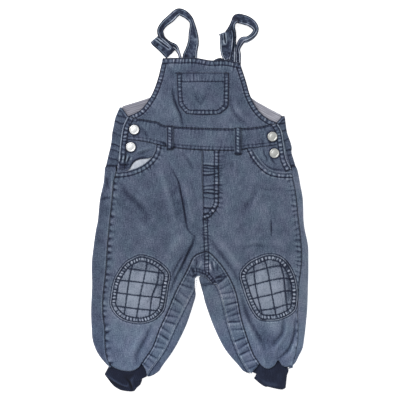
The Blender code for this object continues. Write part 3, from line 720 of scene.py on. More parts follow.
def total(add, first, *others):
    """first plus each (socket, amount), where a socket's middle value 0.5 adds nothing."""
    value = first
    for socket, amount in others:
        centred = add("Math", {"operation": "SUBTRACT"}, i0=socket, i1=0.5).outputs[0]
        value = add("Math", {"operation": "MULTIPLY_ADD"}, i0=centred, i1=amount, i2=value).outputs[0]
    return value


def times(add, factor, colour, tint):
    """The colour multiplied by a tint, as strongly as factor says."""
    settings = {"data_type": "RGBA", "blend_type": "MULTIPLY"}
    return add("Mix", settings, Factor=factor, i6=colour, i7=tint).outputs[2]


# The attribute holds the cloth's wear together with painted shade and highlights.
def wear_and_shade_field(add):
    return add("Attribute", {"attribute_name": "worn"}).outputs["Fac"]


def cloth_place(add):
    return add("UVMap", {"uv_map": "cloth"}).outputs[0]


def cloth_noise(add, width, height, detail=2.0):
    """Noise whose spots are width by height millimetres on the cloth."""
    size = (1 / (width * MM), 1 / (height * MM), 1.0)
    scaled = add("Mapping", Vector=cloth_place(add), Scale=size).outputs[0]
    return add("TexNoise", Vector=scaled, Scale=1.0, Detail=detail).outputs[0]


def waves(add, direction, where, scale, **inputs):
    return add(
        "TexWave", {"bands_direction": direction}, Vector=where, Scale=scale, **inputs
    ).outputs["Fac"]


def denim(name, mottle, dark, shadow, face, light, pale):
    add, paint = new_finish(name)
    worn = wear_and_shade_field(add)
    slub = cloth_noise(add, 0.9, 11.0)
    cloud = cloth_noise(add, 14.0, 17.0)
    grain = cloth_noise(add, 1.5, 1.9)
    where = cloth_place(add)
    twill = waves(add, "DIAGONAL", where, 330.0, Distortion=1.2)
    tone = total(add, worn, (slub, 0.44), (cloud, 0.20), (grain, 0.62), (twill, 0.08))
    colour = ramp(add, tone, [(0.0, dark), (1.0, pale), (0.28, shadow), (0.5, face), (0.74, light)])
    tint = cloth_noise(add, 22.0, 26.0, 1.0)
    hue = ramp(add, tint, [(0.35, (0.90, 1.02, 1.0, 1)), (0.65, (1.05, 0.98, 1.04, 1))])
    mixed = times(add, mottle, colour, hue)
    height = add("SeparateXYZ", Vector=where).outputs["Y"]
    low = add("MapRange", i0=height, i1=-0.15, i2=-0.21).outputs[0]
    bluer = times(add, low, mixed, (0.97, 1.02, 1.11, 1))
    weave = total(add, twill, (slub, 1.2), (grain, 1.0))
    sheen = {"Sheen_Weight": 0.12, "Sheen_Roughness": 0.5}
    return paint(bluer, weave, 0.0003, 0.5, Roughness=0.88, Specular_IOR_Level=0.2, **sheen)


def thread():
    add, paint = new_finish("navy_thread")
    where = add("TexCoord").outputs["Object"]
    fuzz = add("TexNoise", Vector=where, Scale=900.0).outputs[0]
    colour = ramp(add, fuzz, [(0.3, srgb(18, 21, 40)), (0.75, srgb(48, 54, 84))])
    return paint(colour, waves(add, "DIAGONAL", where, 500.0), 0.0001, Roughness=0.75)


def rib():
    add, paint = new_finish("navy_rib")
    worn = wear_and_shade_field(add)
    cloud, grain = cloth_noise(add, 9.0, 12.0), cloth_noise(add, 0.8, 1.2)
    tone = total(add, worn, (cloud, 0.3), (grain, 0.35))
    colour = ramp(add, tone, [(0.0, srgb(2, 4, 18)), (1.0, srgb(66, 78, 106)), (0.5, srgb(16, 25, 50))])
    loops = waves(add, "Y", cloth_place(add), 260.0, Distortion=1.0)
    return paint(colour, loops, 0.0003, 0.5, Roughness=0.95, Sheen_Weight=0.08)


def striped_lining():
    add, paint = new_finish("grey_lining")
    worn = wear_and_shade_field(add)
    stripes = waves(add, "Y", cloth_place(add), 105.0, Distortion=2.5, Detail=2.0)
    streak, grain = cloth_noise(add, 30.0, 1.6), cloth_noise(add, 0.9, 0.9)
    tone = total(add, worn, (stripes, 0.26), (streak, 0.5), (grain, 0.25))
    stops = [(0.0, srgb(90, 91, 104)), (1.0, srgb(202, 203, 214)), (0.5, srgb(154, 154, 166))]
    return paint(ramp(add, tone, stops), stripes, Roughness=0.9)


def pocketing():
    add, paint = new_finish("white_pocketing")
    cloud, grain = cloth_noise(add, 8.0, 8.0), cloth_noise(add, 0.7, 0.7)
    tone = total(add, cloud, (grain, 0.6))
    return paint(
        ramp(add, tone, [(0.2, srgb(166, 173, 186)), (0.8, srgb(214, 220, 230))]), grain, Roughness=0.9,
    )


def button_metal():
    add, paint = new_finish("pale_metal")
    where = add("TexCoord").outputs["Object"]
    scuff = add("TexNoise", Vector=where, Scale=420.0, Detail=3.0).outputs[0]
    colour = ramp(add, scuff, [(0.3, srgb(218, 220, 222)), (0.7, srgb(250, 251, 252))])
    # The right pair of buttons is painted darker than the left.
    across = add("SeparateXYZ", Vector=where).outputs["X"]
    rightward = add("MapRange", i0=across, i1=-0.02, i2=0.02).outputs[0]
    darker_on_right = times(add, rightward, colour, (0.66, 0.66, 0.63, 1))
    rough = ramp(add, scuff, [(0.3, (0.45, 0.45, 0.45, 1)), (0.7, (0.28, 0.28, 0.28, 1))])
    return paint(darker_on_right, scuff, strength=0.3, Roughness=rough, Metallic=0.75)


# %% Denim, thread, rib, lining, pocketing and metal
WASHED = (22, 25, 42), (50, 58, 79), (87, 98, 118), (122, 132, 149), (178, 184, 198)
PALE = (24, 30, 50), (70, 80, 98), (132, 141, 158), (157, 165, 181), (196, 202, 214)
WASHED_DENIM = denim("washed_denim", 0.55, *[srgb(*tone) for tone in WASHED])
PALE_DENIM = denim("pale_denim", 0.15, *[srgb(*tone) for tone in PALE])
NAVY_THREAD, NAVY_RIB, GREY_LINING = thread(), rib(), striped_lining()
WHITE_COTTON, PALE_METAL = pocketing(), button_metal()
print(
    "finishes made:", WASHED_DENIM.name, PALE_DENIM.name, NAVY_RIB.name, GREY_LINING.name, PALE_METAL.name,
)

# %% [markdown]
# ## From a net of points to a piece of cloth
#
# `cloth` takes a net of points on the outer face and gives it a wall, going inwards along the normals,
# with a rim that shares the faces' points, so that smooth shading rounds the edge as a fold does.
# It keeps a UV map in metres on the cloth, and the attribute of wear and painted shade for the finish.


# %% The cloth maker
made_pieces = {}
cuts = {}  # what each cloth was cut to: longest row, longest column, area


def put(name, data):
    """A new object for the data, in the scene."""
    piece = bpy.data.objects.new(name, data)
    bpy.context.collection.objects.link(piece)
    return piece


def smooth_mesh(name, points, faces, finish):
    mesh = bpy.data.meshes.new(name)
    mesh.from_pydata((points * MM).tolist(), [], faces)
    mesh.polygons.foreach_set("use_smooth", np.ones(len(mesh.polygons), bool))
    mesh.materials.append(finish)
    return mesh


def cloth(name, net, worn, finish=WASHED_DENIM, thickness=1.0, uv=None, closed=False):
    """A wall of cloth under the net; a closed one is a tube, whose last column meets its first."""
    rows, columns = net.shape[:2]
    down = np.gradient(net, axis=0)
    across = np.roll(net, -1, axis=1) - np.roll(net, 1, axis=1) if closed else np.gradient(net, axis=1)
    normal = np.cross(down, across)
    normal /= np.maximum(np.linalg.norm(normal, axis=2, keepdims=True), 1e-9)
    points = np.concatenate([net.reshape(-1, 3), (net - thickness * normal).reshape(-1, 3)])
    index = np.arange(rows * columns).reshape(rows, columns)
    if closed:
        index = np.concatenate([index, index[:, :1]], axis=1)
    inner = index + rows * columns
    a, b, c, d = index[:-1, :-1], index[1:, :-1], index[1:, 1:], index[:-1, 1:]
    e, f, g, h = (corner + rows * columns for corner in (a, b, c, d))
    faces = [np.stack([a, b, c, d], -1).reshape(-1, 4), np.stack([e, h, g, f], -1).reshape(-1, 4)]
    rims = [(index[0], inner[0]), (index[-1, ::-1], inner[-1, ::-1])]
    if not closed:
        rims += [(index[::-1, 0], inner[::-1, 0]), (index[:, -1], inner[:, -1])]
    for top_edge, low_edge in rims:
        faces.append(np.stack([top_edge[:-1], top_edge[1:], low_edge[1:], low_edge[:-1]], -1))
    wide, long = (np.linalg.norm(np.diff(net, axis=k), axis=2) for k in (1, 0))
    quads = np.linalg.norm(np.cross(net[1:, 1:] - net[:-1, :-1], net[1:, :-1] - net[:-1, 1:]), axis=2) / 2
    cuts[name] = (wide.sum(axis=1).max(), long.sum(axis=0).max(), quads.sum())
    mesh = smooth_mesh(name, points, np.concatenate(faces).tolist(), finish)
    worn = np.tile(np.clip(worn, 0, 1).reshape(-1), 2).astype(np.float32)
    # Wear and painted shade and highlights, one value for each point.
    mesh.attributes.new("worn", "FLOAT", "POINT").data.foreach_set("value", worn)
    uv = np.tile((net[..., :2] if uv is None else uv).reshape(-1, 2), (2, 1)) * MM
    corner = np.empty(len(mesh.loops), np.int32)
    mesh.loops.foreach_get("vertex_index", corner)
    mesh.uv_layers.new(name="cloth").data.foreach_set("uv", uv[corner].astype(np.float32).reshape(-1))
    made_pieces[name] = put(name + "_cloth", mesh)


def edge_distances(net):
    """Distance of each net point from the upper, lower, left and right edge."""
    fall = np.cumsum(np.linalg.norm(np.diff(net, axis=0, prepend=net[:1]), axis=2), axis=0)
    walk = np.cumsum(np.linalg.norm(np.diff(net, axis=1, prepend=net[:, :1]), axis=2), axis=1)
    return fall, fall[-1:] - fall, walk, walk[:, -1:] - walk


WASH_AND_SHADE_CLOUDS = [  # where the cloth is painted darker or paler, partly from the wash and partly as painted light and shade: x, y, reach across, reach down, how much paler
    (-90, 10, 50, 60, -0.05),
    (-28, 20, 16, 50, -0.04),
    (105, -10, 35, 50, 0.06),
    (100, -207, 22, 24, -0.08),
    (82, 92, 18, 14, -0.05),
    (-86, -95, 26, 9, -0.04),
    (84, -93, 18, 10, -0.08),
    # painted shade on the left leg's rounded outer side, and painted light on the right leg's
    (-150, -40, 12, 70, -0.07),
    (-152, -190, 16, 60, -0.10),
    (151, 0, 11, 60, 0.12),
    (154, -110, 11, 70, 0.14),
    (146, -205, 10, 30, 0.10),
    (107, -182, 14, 12, 0.16),
    (119, 76, 9, 8, 0.15),
    (138, 16, 9, 16, 0.10),
    (12, -99, 8, 9, 0.18),
    (-58, -222, 12, 12, 0.10),
    (-26, -128, 9, 24, 0.10),
    (34, -138, 8, 18, 0.10),
    (-137, -180, 7, 12, -0.14),
    (-96, 52, 9, 8, -0.08),
    # painted shade beside the low end of the right strap tab
    (31, 204, 8, 6, -0.4),
    (-62, -118, 12, 10, -0.08),
    (116, 95, 6, 16, 0.14),
    (-106, 116, 8, 8, 0.13),
    (-10, 184, 14, 6, -0.12),
    (82, -249, 7, 6, -0.3),
    (-39, -195, 8, 12, 0.12),
    (135, -92, 9, 14, 0.08),
    (73, -229, 10, 9, 0.10),
]


def shade(x, y):
    """How pale the cloth is painted away from its seams: paler down the legs, with painted highlight along
    the creases' ridges, painted shade in their troughs, and the clouds.
    """
    # Crease ridges get painted highlight and crease troughs painted shade.
    worn = 0.47 + 0.12 * np.clip((-70 - y) / 110, 0, 1) + 0.085 * creases(x, y)
    for middle_x, middle_y, across, down, paler in WASH_AND_SHADE_CLOUDS:
        worn += paler * np.exp(-(((x - middle_x) / across) ** 2 + ((y - middle_y) / down) ** 2))
    return worn + 0.05 * hills(x, y, 24, 11) + 0.03 * hills(x, y, 8, 12)


def with_height(net, height):
    """Plan points and their heights, as one net of points in space."""
    return np.concatenate([net, height[..., None]], axis=2)


def lay(
    name, net, sewn, finish=WASHED_DENIM, lift=0.0, thickness=1.0, extra=None, stitched=(), tuck=(0,) * 4,
    pale=(0,) * 4,
):
    """A panel on the lie of the garment, with the relief of its seams and the stitches of some of them.

    tuck is how far each edge (upper, lower, left, right) turns down, and pale how much paler it is painted:
    wear and a painted highlight on a folded edge, and below 0 darker, as the painted shadow along the bib
    pocket's opening.
    """
    x, y = net[..., 0].ravel(), net[..., 1].ravel()
    rise, worn = sew(x, y, sewn, np.zeros_like(x), shade(x, y))
    marks(x, y, rise, worn)
    if extra:
        extra(x, y, rise, worn)
    height = (lie(x, y) + lift + rise).reshape(net.shape[:2])
    worn = worn.reshape(net.shape[:2])
    for distance, drop, paler in zip(edge_distances(net), tuck, pale):
        height = height - drop * (1 - np.clip(distance / 1.8, 0, 1)) ** 2
        # Each edge painted paler or darker: wear, painted highlight and painted shadow.
        worn = worn + paler * bell(distance - 0.8, 1.0)
    cloth(name, with_height(net, height), worn, finish, thickness)
    for seam_name in stitched:
        stitch_seam(name, seam_name, lift)


stitch_rows = {}


def stitch(group, path, lift=0.0):
    """Keeps a row of stitches along a plan path, on the lie of the garment."""
    path = spread(np.asarray(path, float)[:, :2], 2.5)
    height = lie(path[:, 0], path[:, 1]) + lift - 0.05
    stitch_rows.setdefault(group, []).append(np.column_stack([path, height]))


def stitch_seam(group, name, lift=0.0, trim=(3.0, 3.0)):
    """The stitches of a seam's rows, which stop short of its ends by the trim."""
    s = seams[name]
    for row in [row for row, force in s["rows"] if force > 0]:
        line = shifted(s["line"], s["side"] * row)
        run = distances(line)
        stitch(group, line[(run >= trim[0]) & (run <= run[-1] - trim[1])], lift)


# %% [markdown]
# ## Bib and bib pocket
#
# The bib is one panel whose upper edge and armholes are hemmed with a double topstitch. The pocket is a
# second layer on it, with clipped lower corners, a hemmed opening and bar tacks at the opening's ends.

# %% Bib and pocket
LAYER = 1.3  # from one layer of cloth to the next
bib_low = [BIB_SIDE["left"][-1], *[(x, y + 0.4) for x, y in WAIST_TOP[1:-1]], BIB_SIDE["right"][-1]]
hems = ["bib left", "bib right", "bib top"]
net = panel(*BIB_SIDE.values(), BIB_TOP, bib_low)
lay("bib_front", net, ["waist top", *hems], stitched=hems, tuck=(0.8, 0.5, 0.8, 0.8))
pocket_net = panel(
    [(-33.6, 184), (-33.2, 160), (-31.4, 139.6), (-29.2, 134), (-20.6, 124.2)],
    [(42.6, 184), (42.6, 160), (41.8, 137.6), (38.8, 131), (29.4, 123.6)],
    [(-33.6, 184), (5, 184.4), (42.6, 184)],
    [(-20.6, 124.2), (5, 122), (29.4, 123.6)],
)
V_FOLD = [(-11, 163), (1, 139), (9, 155)]


def pocket_creases(x, y, rise, worn):
    out = place_on(smooth_line(V_FOLD), x, y)[1]
    rise -= 0.3 * bell(out, 1.8)
    # The V fold's trough is painted darker: painted shade.
    worn -= 0.08 * bell(out, 2.0)


lay(
    "bib_pocket",
    pocket_net,
    ["bib pocket hem", "bib pocket rim"],
    stitched=["bib pocket rim", "bib pocket hem"],
    lift=LAYER,
    tuck=(0.9,) * 4,
    # The pocket's opening edge is painted darker: a painted shadow.
    pale=(-0.22, 0, 0, 0),
    extra=pocket_creases,
)
print("bib and pocket made")

# %% [markdown]
# ## Waistband, side panels and pocket bag
#
# The waistband joins the bib to the fronts. Behind each curved pocket opening lies the side panel, which
# carries the waistband's side down into the pocket; on the left a corner of the white bag shows.

# %% Waistband and what lies behind the pockets
left_end, right_end = [WAIST_TOP[0], (-112, 105), WAIST_LOW[0]], [WAIST_TOP[-1], (119, 98), WAIST_LOW[-1]]
band_net = panel(left_end, right_end, WAIST_TOP, WAIST_LOW)
waist_seams = ["waist top", "waist low"]
lay("waistband_front", band_net, waist_seams[::-1], stitched=waist_seams, tuck=(0.4, 0.3, 0, 0))
waist_under = [(x, y - 0.2) for x, y in WAIST_LOW]
curve_inside = [(-121, 38), (-109, 40.5), (-102, 44.5), (-96, 53.5), (-88, 58), (-75, 59.8), (-61, 66)]
ends = [waist_under[0], (-118, 58), (-121, 38)], [waist_under[2], (-62, 72), (-61, 66)]
side_net = panel(*ends, waist_under[:3], curve_inside)
lay("side_panel_left", side_net, [], lift=-LAYER, tuck=(0, 0.6, 0, 0))
curve_inside = [(134.5, 37)] + [(x - 3.0, y - 3.5) for x, y in POCKET["right"][1:]]
ends = [curve_inside[0], (129, 56), waist_under[-1]], [curve_inside[-1], waist_under[-4]]
side_net = panel(*ends, curve_inside, waist_under[-1:-5:-1])
lay("side_panel_right", side_net[:, ::-1], [], lift=-LAYER)
bag_net = panel(
    [(-112, 50), (-106, 33)], [(-70, 72), (-64, 50)], [(-112, 50), (-70, 72)], [(-106, 33), (-64, 50)],
)
lay("pocket_bag_left", bag_net, [], WHITE_COTTON, lift=-2 * LAYER - 0.3)

# %% [markdown]
# ## Fronts, fly and inner leg strips
#
# Each front runs from the waist to the cuff, between the outseam and the strip that faces the inner leg.
# The mock fly is a layer over the centre seam, pinched into cross folds by its topstitch.

# %% Fronts
HEM = {
    "left": [(-125, -243.6), (-119, -246.3), (-111.8, -248.4), (-100.5, -249.2), (-91.8, -245.8)],
    "right": [
        (131, -242), (125, -242.8), (119, -240.4), (113.5, -233), (109, -239.5), (103, -244.3), (96, -245),
    ],
}
WAIST_EDGE = {"left": WAIST_LOW[2:5], "right": WAIST_LOW[6:3:-1]}


def in_order(side, outer, inner):
    """Puts what belongs to the outer and the inner edge into the order left, right."""
    return (outer, inner) if side == "left" else (inner, outer)


def leg_panel(side, outer, inner, upper, lower):
    """A panel whose upper and lower lines run from its outer edge to its inner edge."""
    turned = slice(None) if side == "left" else slice(None, None, -1)
    return panel(*in_order(side, outer, inner), upper[turned], lower[turned])


for side, pocket in POCKET.items():
    waist = smooth_line([pocket[-1], *WAIST_EDGE[side][1:-1], CENTRE[0]], 1.0)
    upper = np.vstack([smooth_line(pocket, 1.0), waist[1:]])
    outer = [tuple(upper[0]), *OUTSEAM[side][1:]]
    inner = np.vstack([smooth_line(CENTRE, 1.0), smooth_line(STRIP_FRONT[side], 1.0)[1:]])
    net = leg_panel(side, outer, inner, upper, [outer[-1], *HEM[side], STRIP_FRONT[side][-1]])
    name = f"front_{side}"
    sewn = [f"outseam {side}", "waist low", f"strip front {side}", "centre"]
    sewn += [f"pocket {side}", f"knee edge {side}"]
    sewn += ["fly", "outseam right low"] * (side == "right")
    outer_tuck = 0.6 if side == "left" else 0.35
    lay(name, net, sewn, stitched=[f"pocket {side}"], tuck=(0.5, 1.2, *in_order(side, outer_tuck, 0.6)))
    stitch_seam(name, f"outseam {side}", trim=(8, 4))
stitch_seam("front_right", "centre", trim=(4, 6))


# %% Fly and strips
def fly_folds(x, y, rise, worn):
    """The cross folds that the topstitch pinches into the fly."""
    for k, place in enumerate(FLY_FOLDS):
        out = y - place - 0.8 * np.sin(x / 5 + k)
        reach = np.clip((x - 3) / 2, 0, 1)
        deep = 0.75 + 0.35 * np.sin(2.3 * k + 1)
        rise += reach * deep * (0.6 * bell(out - 2.2, 1.2) - bell(out, 1.1))
        # Crests painted paler, partly wear and partly painted light; troughs darker, partly kept indigo and
        # partly painted shade.
        worn += reach * deep * (0.24 * bell(out - 2.3, 1.2) - 0.68 * bell(out, 1.15))


fly_net = panel(
    [(3.5, 70), (4, 20), (4.5, -28)], FLY_CURVE, [(3.5, 70), (27.4, 70)], [(4.5, -28), (8, -29)],
)
lay(
    "fly_front",
    fly_net,
    ["fly"],
    stitched=["fly"],
    lift=LAYER,
    tuck=(0, 0.5, 0.9, 0.9),
    pale=(0, 0, -0.4, 0),
    extra=fly_folds,
)
STRIP_FOLDS = {  # where each cross fold sits on the middle of the strip, by its y, and its strength
    "left": [
        (-111, 0.7), (-119, 0.5), (-126, 0.9), (-137, 0.7), (-148, 1.0), (-161, 0.6), (-169, 0.8),
        (-178, 1.2), (-189, 1.1), (-198, 1.3), (-207, 0.7), (-214, 1.0), (-227, 1.2), (-233, 0.6),
        (-241, 0.8),
    ],
    "right": [
        (-111, 0.9), (-117, 1.1), (-126, 0.7), (-135, 0.8), (-143, 0.6), (-151, 1.3), (-160, 0.6),
        (-167, 0.9), (-177, 1.4), (-188, 0.8), (-202, 1.3), (-212, 0.9), (-221, 1.4), (-234, 0.8),
        (-242, 0.7),
    ],
}


def strip_folds(side):
    """The cross folds of one inner leg strip, measured along its middle."""
    lines = [smooth_line(STRIP_FRONT[side]), smooth_line(STRIP_BACK[side])]
    middle = sum(at(line, np.linspace(0, distances(line)[-1], 90)) for line in lines) / 2

    def mark(x, y, rise, worn):
        along, out = place_on(middle, x, y)
        run = distances(middle)
        worn -= 0.06
        for k, (height, strength) in enumerate(STRIP_FOLDS[side]):
            step = along - np.interp(-height, -middle[:, 1], run) - (0.25 * math.sin(5 * k)) * out
            reach = np.clip(1.25 - np.abs(out - 4 * math.sin(3 * k)) / 14, 0, 1) * strength
            rise += reach * (0.7 * bell(step - 3.2, 2.2) - bell(step, 1.2))
            # Fold crests painted paler and troughs darker: painted light and shade.
            worn += reach * (0.15 * bell(step - 3.2, 2.2) - 0.3 * bell(step, 1.1))

    return mark


LOW_END = {"left": [(-84, -238), (-79, -246), (-76.2, -257)], "right": [(86, -238), (74.6, -253)]}
for side, outer in STRIP_FRONT.items():
    net = leg_panel(side, outer, STRIP_BACK[side], [outer[0], STRIP_BACK[side][0]], LOW_END[side])
    lay(
        f"inseam_placket_{side}",
        net,
        ["centre", f"strip front {side}", f"strip back {side}", "crotch arc"],
        stitched=[f"strip front {side}", f"strip back {side}"],
        tuck=(0.4, 0.6, 0.6, 0.6),
        # The strip's back edge is painted pale: a painted highlight on its fold.
        pale=(0, 0, *in_order(side, 0, 0.3)),
        extra=strip_folds(side),
    )
print("fronts, fly and strips made")

# %% [markdown]
# ## Button stands and belt loops
#
# The side openings are closed by button stands, folded strips whose outer fold faces the back and is
# painted pale, as wear and a painted highlight.
# Each belt loop is a narrow folded strip that arches over the waistband, with one row of beads down it.

# %% Stands and loops
STAND = {
    "left": [(-105, 120), (-109.5, 111), (-112.5, 102), (-115, 86), (-117, 66), (-119.5, 45)],
    "right": [(113, 110), (119, 99), (122, 81), (125.5, 60), (133, 44)],
}
STAND_SEAM = {"reach": 0.6, "tick": 1.1, "depth": 1.2}
sewn_line = [*STAND["left"][:-1], (-117.6, 60)]
seam("placket left", sewn_line, 1, (2.7, 9.0), (3.3, 8.4), pitch=5.2, band=0.32, **STAND_SEAM)
seam("placket right", STAND["right"], -1, (2.7, 9.0), (3.3, 8.4), pitch=5.4, band=0.4, **STAND_SEAM)
for side, outer in STAND.items():
    inner = shifted(smooth_line(outer), 10.0 if side == "left" else -10.0)
    inner[0] = outer[0][0] + (10 if side == "left" else -9), outer[0][1] - 3
    net = leg_panel(side, outer, inner, [outer[0], inner[0]], [outer[-1], inner[-1]])
    # The outer fold is painted pale: wear and a painted highlight.
    name, pale = f"placket {side}", (0, 0, *in_order(side, 0.34, 0))
    tuck = (0.6, 0.6, 0.8, 0.8)
    lay(f"placket_{side}", net, [name], stitched=[name], lift=LAYER, tuck=tuck, pale=pale)


def loop_beads(low, high):
    """One row of slanted beads down the middle of a belt loop."""

    def mark(x, y, rise, worn):
        middle = (low + high) / 2
        bead = 0.5 + 0.5 * np.sin(2 * np.pi * (y + 0.4 * (x - middle)) / 4.6)
        ridge = bell(x - middle, 1.7)
        rise += 0.5 * ridge * bead
        worn += ridge * (0.55 * bead - 0.24 + 0.25 * hills(x, y, 3.5, 35))
        worn -= 0.6 * bell(np.abs(x - middle) - 3.2, 0.9)

    return mark


for side, (low, high, upper, lower) in {
    "left": (-48.5, -38.5, 107, 72), "right": (50, 60, 104, 65),
}.items():
    a, b, c, d = (low, upper), (high, upper), (low, lower), (high, lower)
    net = panel([a, c], [b, d], [a, b], [c, d], 0.9)
    arch = 1.2 * np.sin(np.linspace(0, np.pi, net.shape[0]))[:, None] * np.ones(net.shape[1])
    lay(
        f"belt_loop_{side}",
        net,
        [],
        lift=2.2 + arch.ravel(),
        tuck=(0, 0, 0.9, 0.9),
        pale=(-0.5, -0.5, 0.12, 0.12),
        thickness=1.3,
        extra=loop_beads(low, high),
    )
print("stands and loops made")

# %% [markdown]
# ## Knee patches
#
# A pale check patch is sewn over each knee: dark check lines, soft puffs between them, and a border of
# two rows of topstitch with one bead for every stitch or two. The net for an oval comes from a square,
# pulled round, so that its points stay even.

# %% Knee patches
def oval_net(outline, middle, count=76):
    """A square net of points, pulled round to fill a closed outline."""
    rim = smooth_line(outline, 1.0) - middle
    turn = np.arctan2(rim[:, 1], rim[:, 0])
    order = np.argsort(turn)
    line = np.linspace(-1, 1, count)
    u, v = np.meshgrid(line, -line)
    x, y = u * np.sqrt(1 - v * v / 2), v * np.sqrt(1 - u * u / 2)
    radius = np.interp(np.arctan2(y, x), turn[order], np.hypot(*rim[order].T), period=2 * np.pi)
    return np.stack([middle[0] + x * radius, middle[1] + y * radius], axis=-1)


def check_marks(knee, lines):
    """Sinks the check lines into a knee patch, and puffs up the cloth between them."""

    def mark(x, y, rise, worn):
        near = np.full_like(x, 99.0)
        for line in lines:
            near = np.minimum(near, np.abs(place_on(line, x, y)[1]))
        inside = place_on(smooth_line(knee["outline"]), x, y)[1]
        inner = np.clip((-inside - 8) / 3, 0, 1)
        puff = 1 - bell(near, 3.5)
        rise += inner * 0.9 * puff
        middle = np.hypot(x - knee["middle"][0] + 4, y - knee["middle"][1] - 2) / 40
        worn += inner * (0.05 - 0.16 * middle**2)
        worn -= np.clip(inner + 0.25, 0, 1) * 0.8 * bell(near, 0.78)

    return mark


PATCH_LIFT = 1.7
for side, knee in KNEES.items():
    lines = [smooth_line(line) for line in knee["down"] + knee["across"]]
    net = oval_net(knee["outline"], knee["middle"])
    lay(
        f"knee_patch_{side}",
        net,
        [f"knee {side}"],
        PALE_DENIM,
        stitched=[f"knee {side}"],
        lift=PATCH_LIFT,
        tuck=(0.9,) * 4,
        # The patch's folded edge is painted a little paler: a painted highlight.
        pale=(0.04,) * 4,
        extra=check_marks(knee, lines),
    )
    for line in lines:
        stitch(f"knee_patch_{side}", line, PATCH_LIFT + 0.2)
print("knee patches made")

# %% [markdown]
# ## Backs of the legs
#
# Each back is one panel. It starts at the outseam on top, rounds the side fold, lies flat on the table and
# curls up at the inner fold to meet the inner leg strip. Above the crotch the two backs meet in the centre
# back seam instead, so the curl fades out there.

# %% Leg backs
FOLD = 5.0  # radius of the round folds at a leg's outer and inner side
HEM_STARTS, HEM_DEPTH = -222, 25  # the hem's drop sets in below this height, over this length
ON_TOP, ROUND, UNDER, TAIL = 24, 19, 59, 13  # points on each stretch of a section
HEM_DROP = {  # how much lower the hem hangs at each x
    "left": (
        [-134, -128, -122, -104, -90, -82, -77, -72, -67, -61, -57, -52],
        [-1.6, -3, -1, 2, 6, 9.8, 11.2, 10.9, 8.8, 4.8, 1.4, 0],
    ),
    "right": ([50, 56, 62, 68, 75, 80, 86, 104, 126, 134], [0, 0.4, 2.8, 5.6, 6.8, 5.6, 2.4, 0, 0, -2]),
}


def hem_share(y):
    return np.clip((HEM_STARTS - y) / HEM_DEPTH, 0, 1)


def leg_section(side, y, columns):
    """One row of a leg's back: over the top, round the side fold, under the leg and up its inner curl."""
    sign, pick = (-1, 0) if side == "left" else (1, 1)
    fold, inner = columns_at(SIDES, y)[pick], columns_at(INNER, y)[pick]
    outseam = smooth_line(OUTSEAM[side], 1.0)[::-1]
    strip = smooth_line(STRIP_BACK[side], 1.0)
    strip = strip[strip[:, 1].argmax() :]
    start_x = np.interp(y, outseam[:, 1], outseam[:, 0]) + sign * 0.5
    strip_x = np.interp(-y, -strip[:, 1], strip[:, 0])
    dropped = y - hem_share(y) * np.interp(strip_x, *HEM_DROP[side])
    strip_x = np.interp(-dropped, -strip[:, 1], strip[:, 0]) - sign * 0.4
    strip_x = sign * max(sign * strip_x, sign * inner + FOLD + 1)
    turn_x = fold - sign * FOLD
    across = np.linspace(start_x, turn_x, ON_TOP)
    height = lie(across, np.full(ON_TOP, y))
    parts = [np.column_stack([across, height])]
    angle = np.linspace(np.pi / 2, -np.pi / 2, ROUND + 1)[1:]
    parts.append(
        np.column_stack([turn_x + sign * FOLD * np.cos(angle), height[-1] / 2 * (1 + np.sin(angle))])
    )
    curl = ease(np.clip((-105 - y) / 9, 0, 1))
    turn, bend = np.pi * max(curl, 0.001), np.pi * FOLD
    tail = 2 * (1 - curl) + (abs(strip_x - inner) - FOLD) * curl
    begin = (inner + sign * (0.15 + bend + tail)) * (1 - curl) + (inner + sign * FOLD) * curl
    begin += sign * 1.8 * math.sin(turn)
    under = np.linspace(turn_x, begin, UNDER + 1)[1:]
    bow = np.sin(np.linspace(0, np.pi, UNDER)) ** 0.5
    parts.append(np.column_stack([under, 0.25 * (1 + hills(under, np.full(UNDER, y), 14, 8)) * bow]))
    angle = np.linspace(0, turn, ROUND + 1)[1:]
    tall = 1 + curl * (lie(np.array([begin]), np.array([y]))[0] / (2 * FOLD) - 1)
    rise = bend / turn * (1 - np.cos(angle)) * tall
    parts.append(np.column_stack([begin - sign * bend / turn * np.sin(angle), rise]))
    last_x, last_z = parts[-1][-1]
    out = tail * np.linspace(0, 1, TAIL + 1)[1:]
    tail_x = last_x - sign * out * math.cos(turn)
    tail_z = last_z + out * math.sin(turn) + curl * (lie(tail_x, np.full(TAIL, y)) - 2 * FOLD * tall)
    if side == "left":
        tail_z = tail_z - 1.4 * curl * np.clip((y + 134) / 5, 0, 1)
    line = np.vstack([*parts, np.column_stack([tail_x, tail_z])])
    return at(line, np.linspace(0, distances(line)[-1], columns))


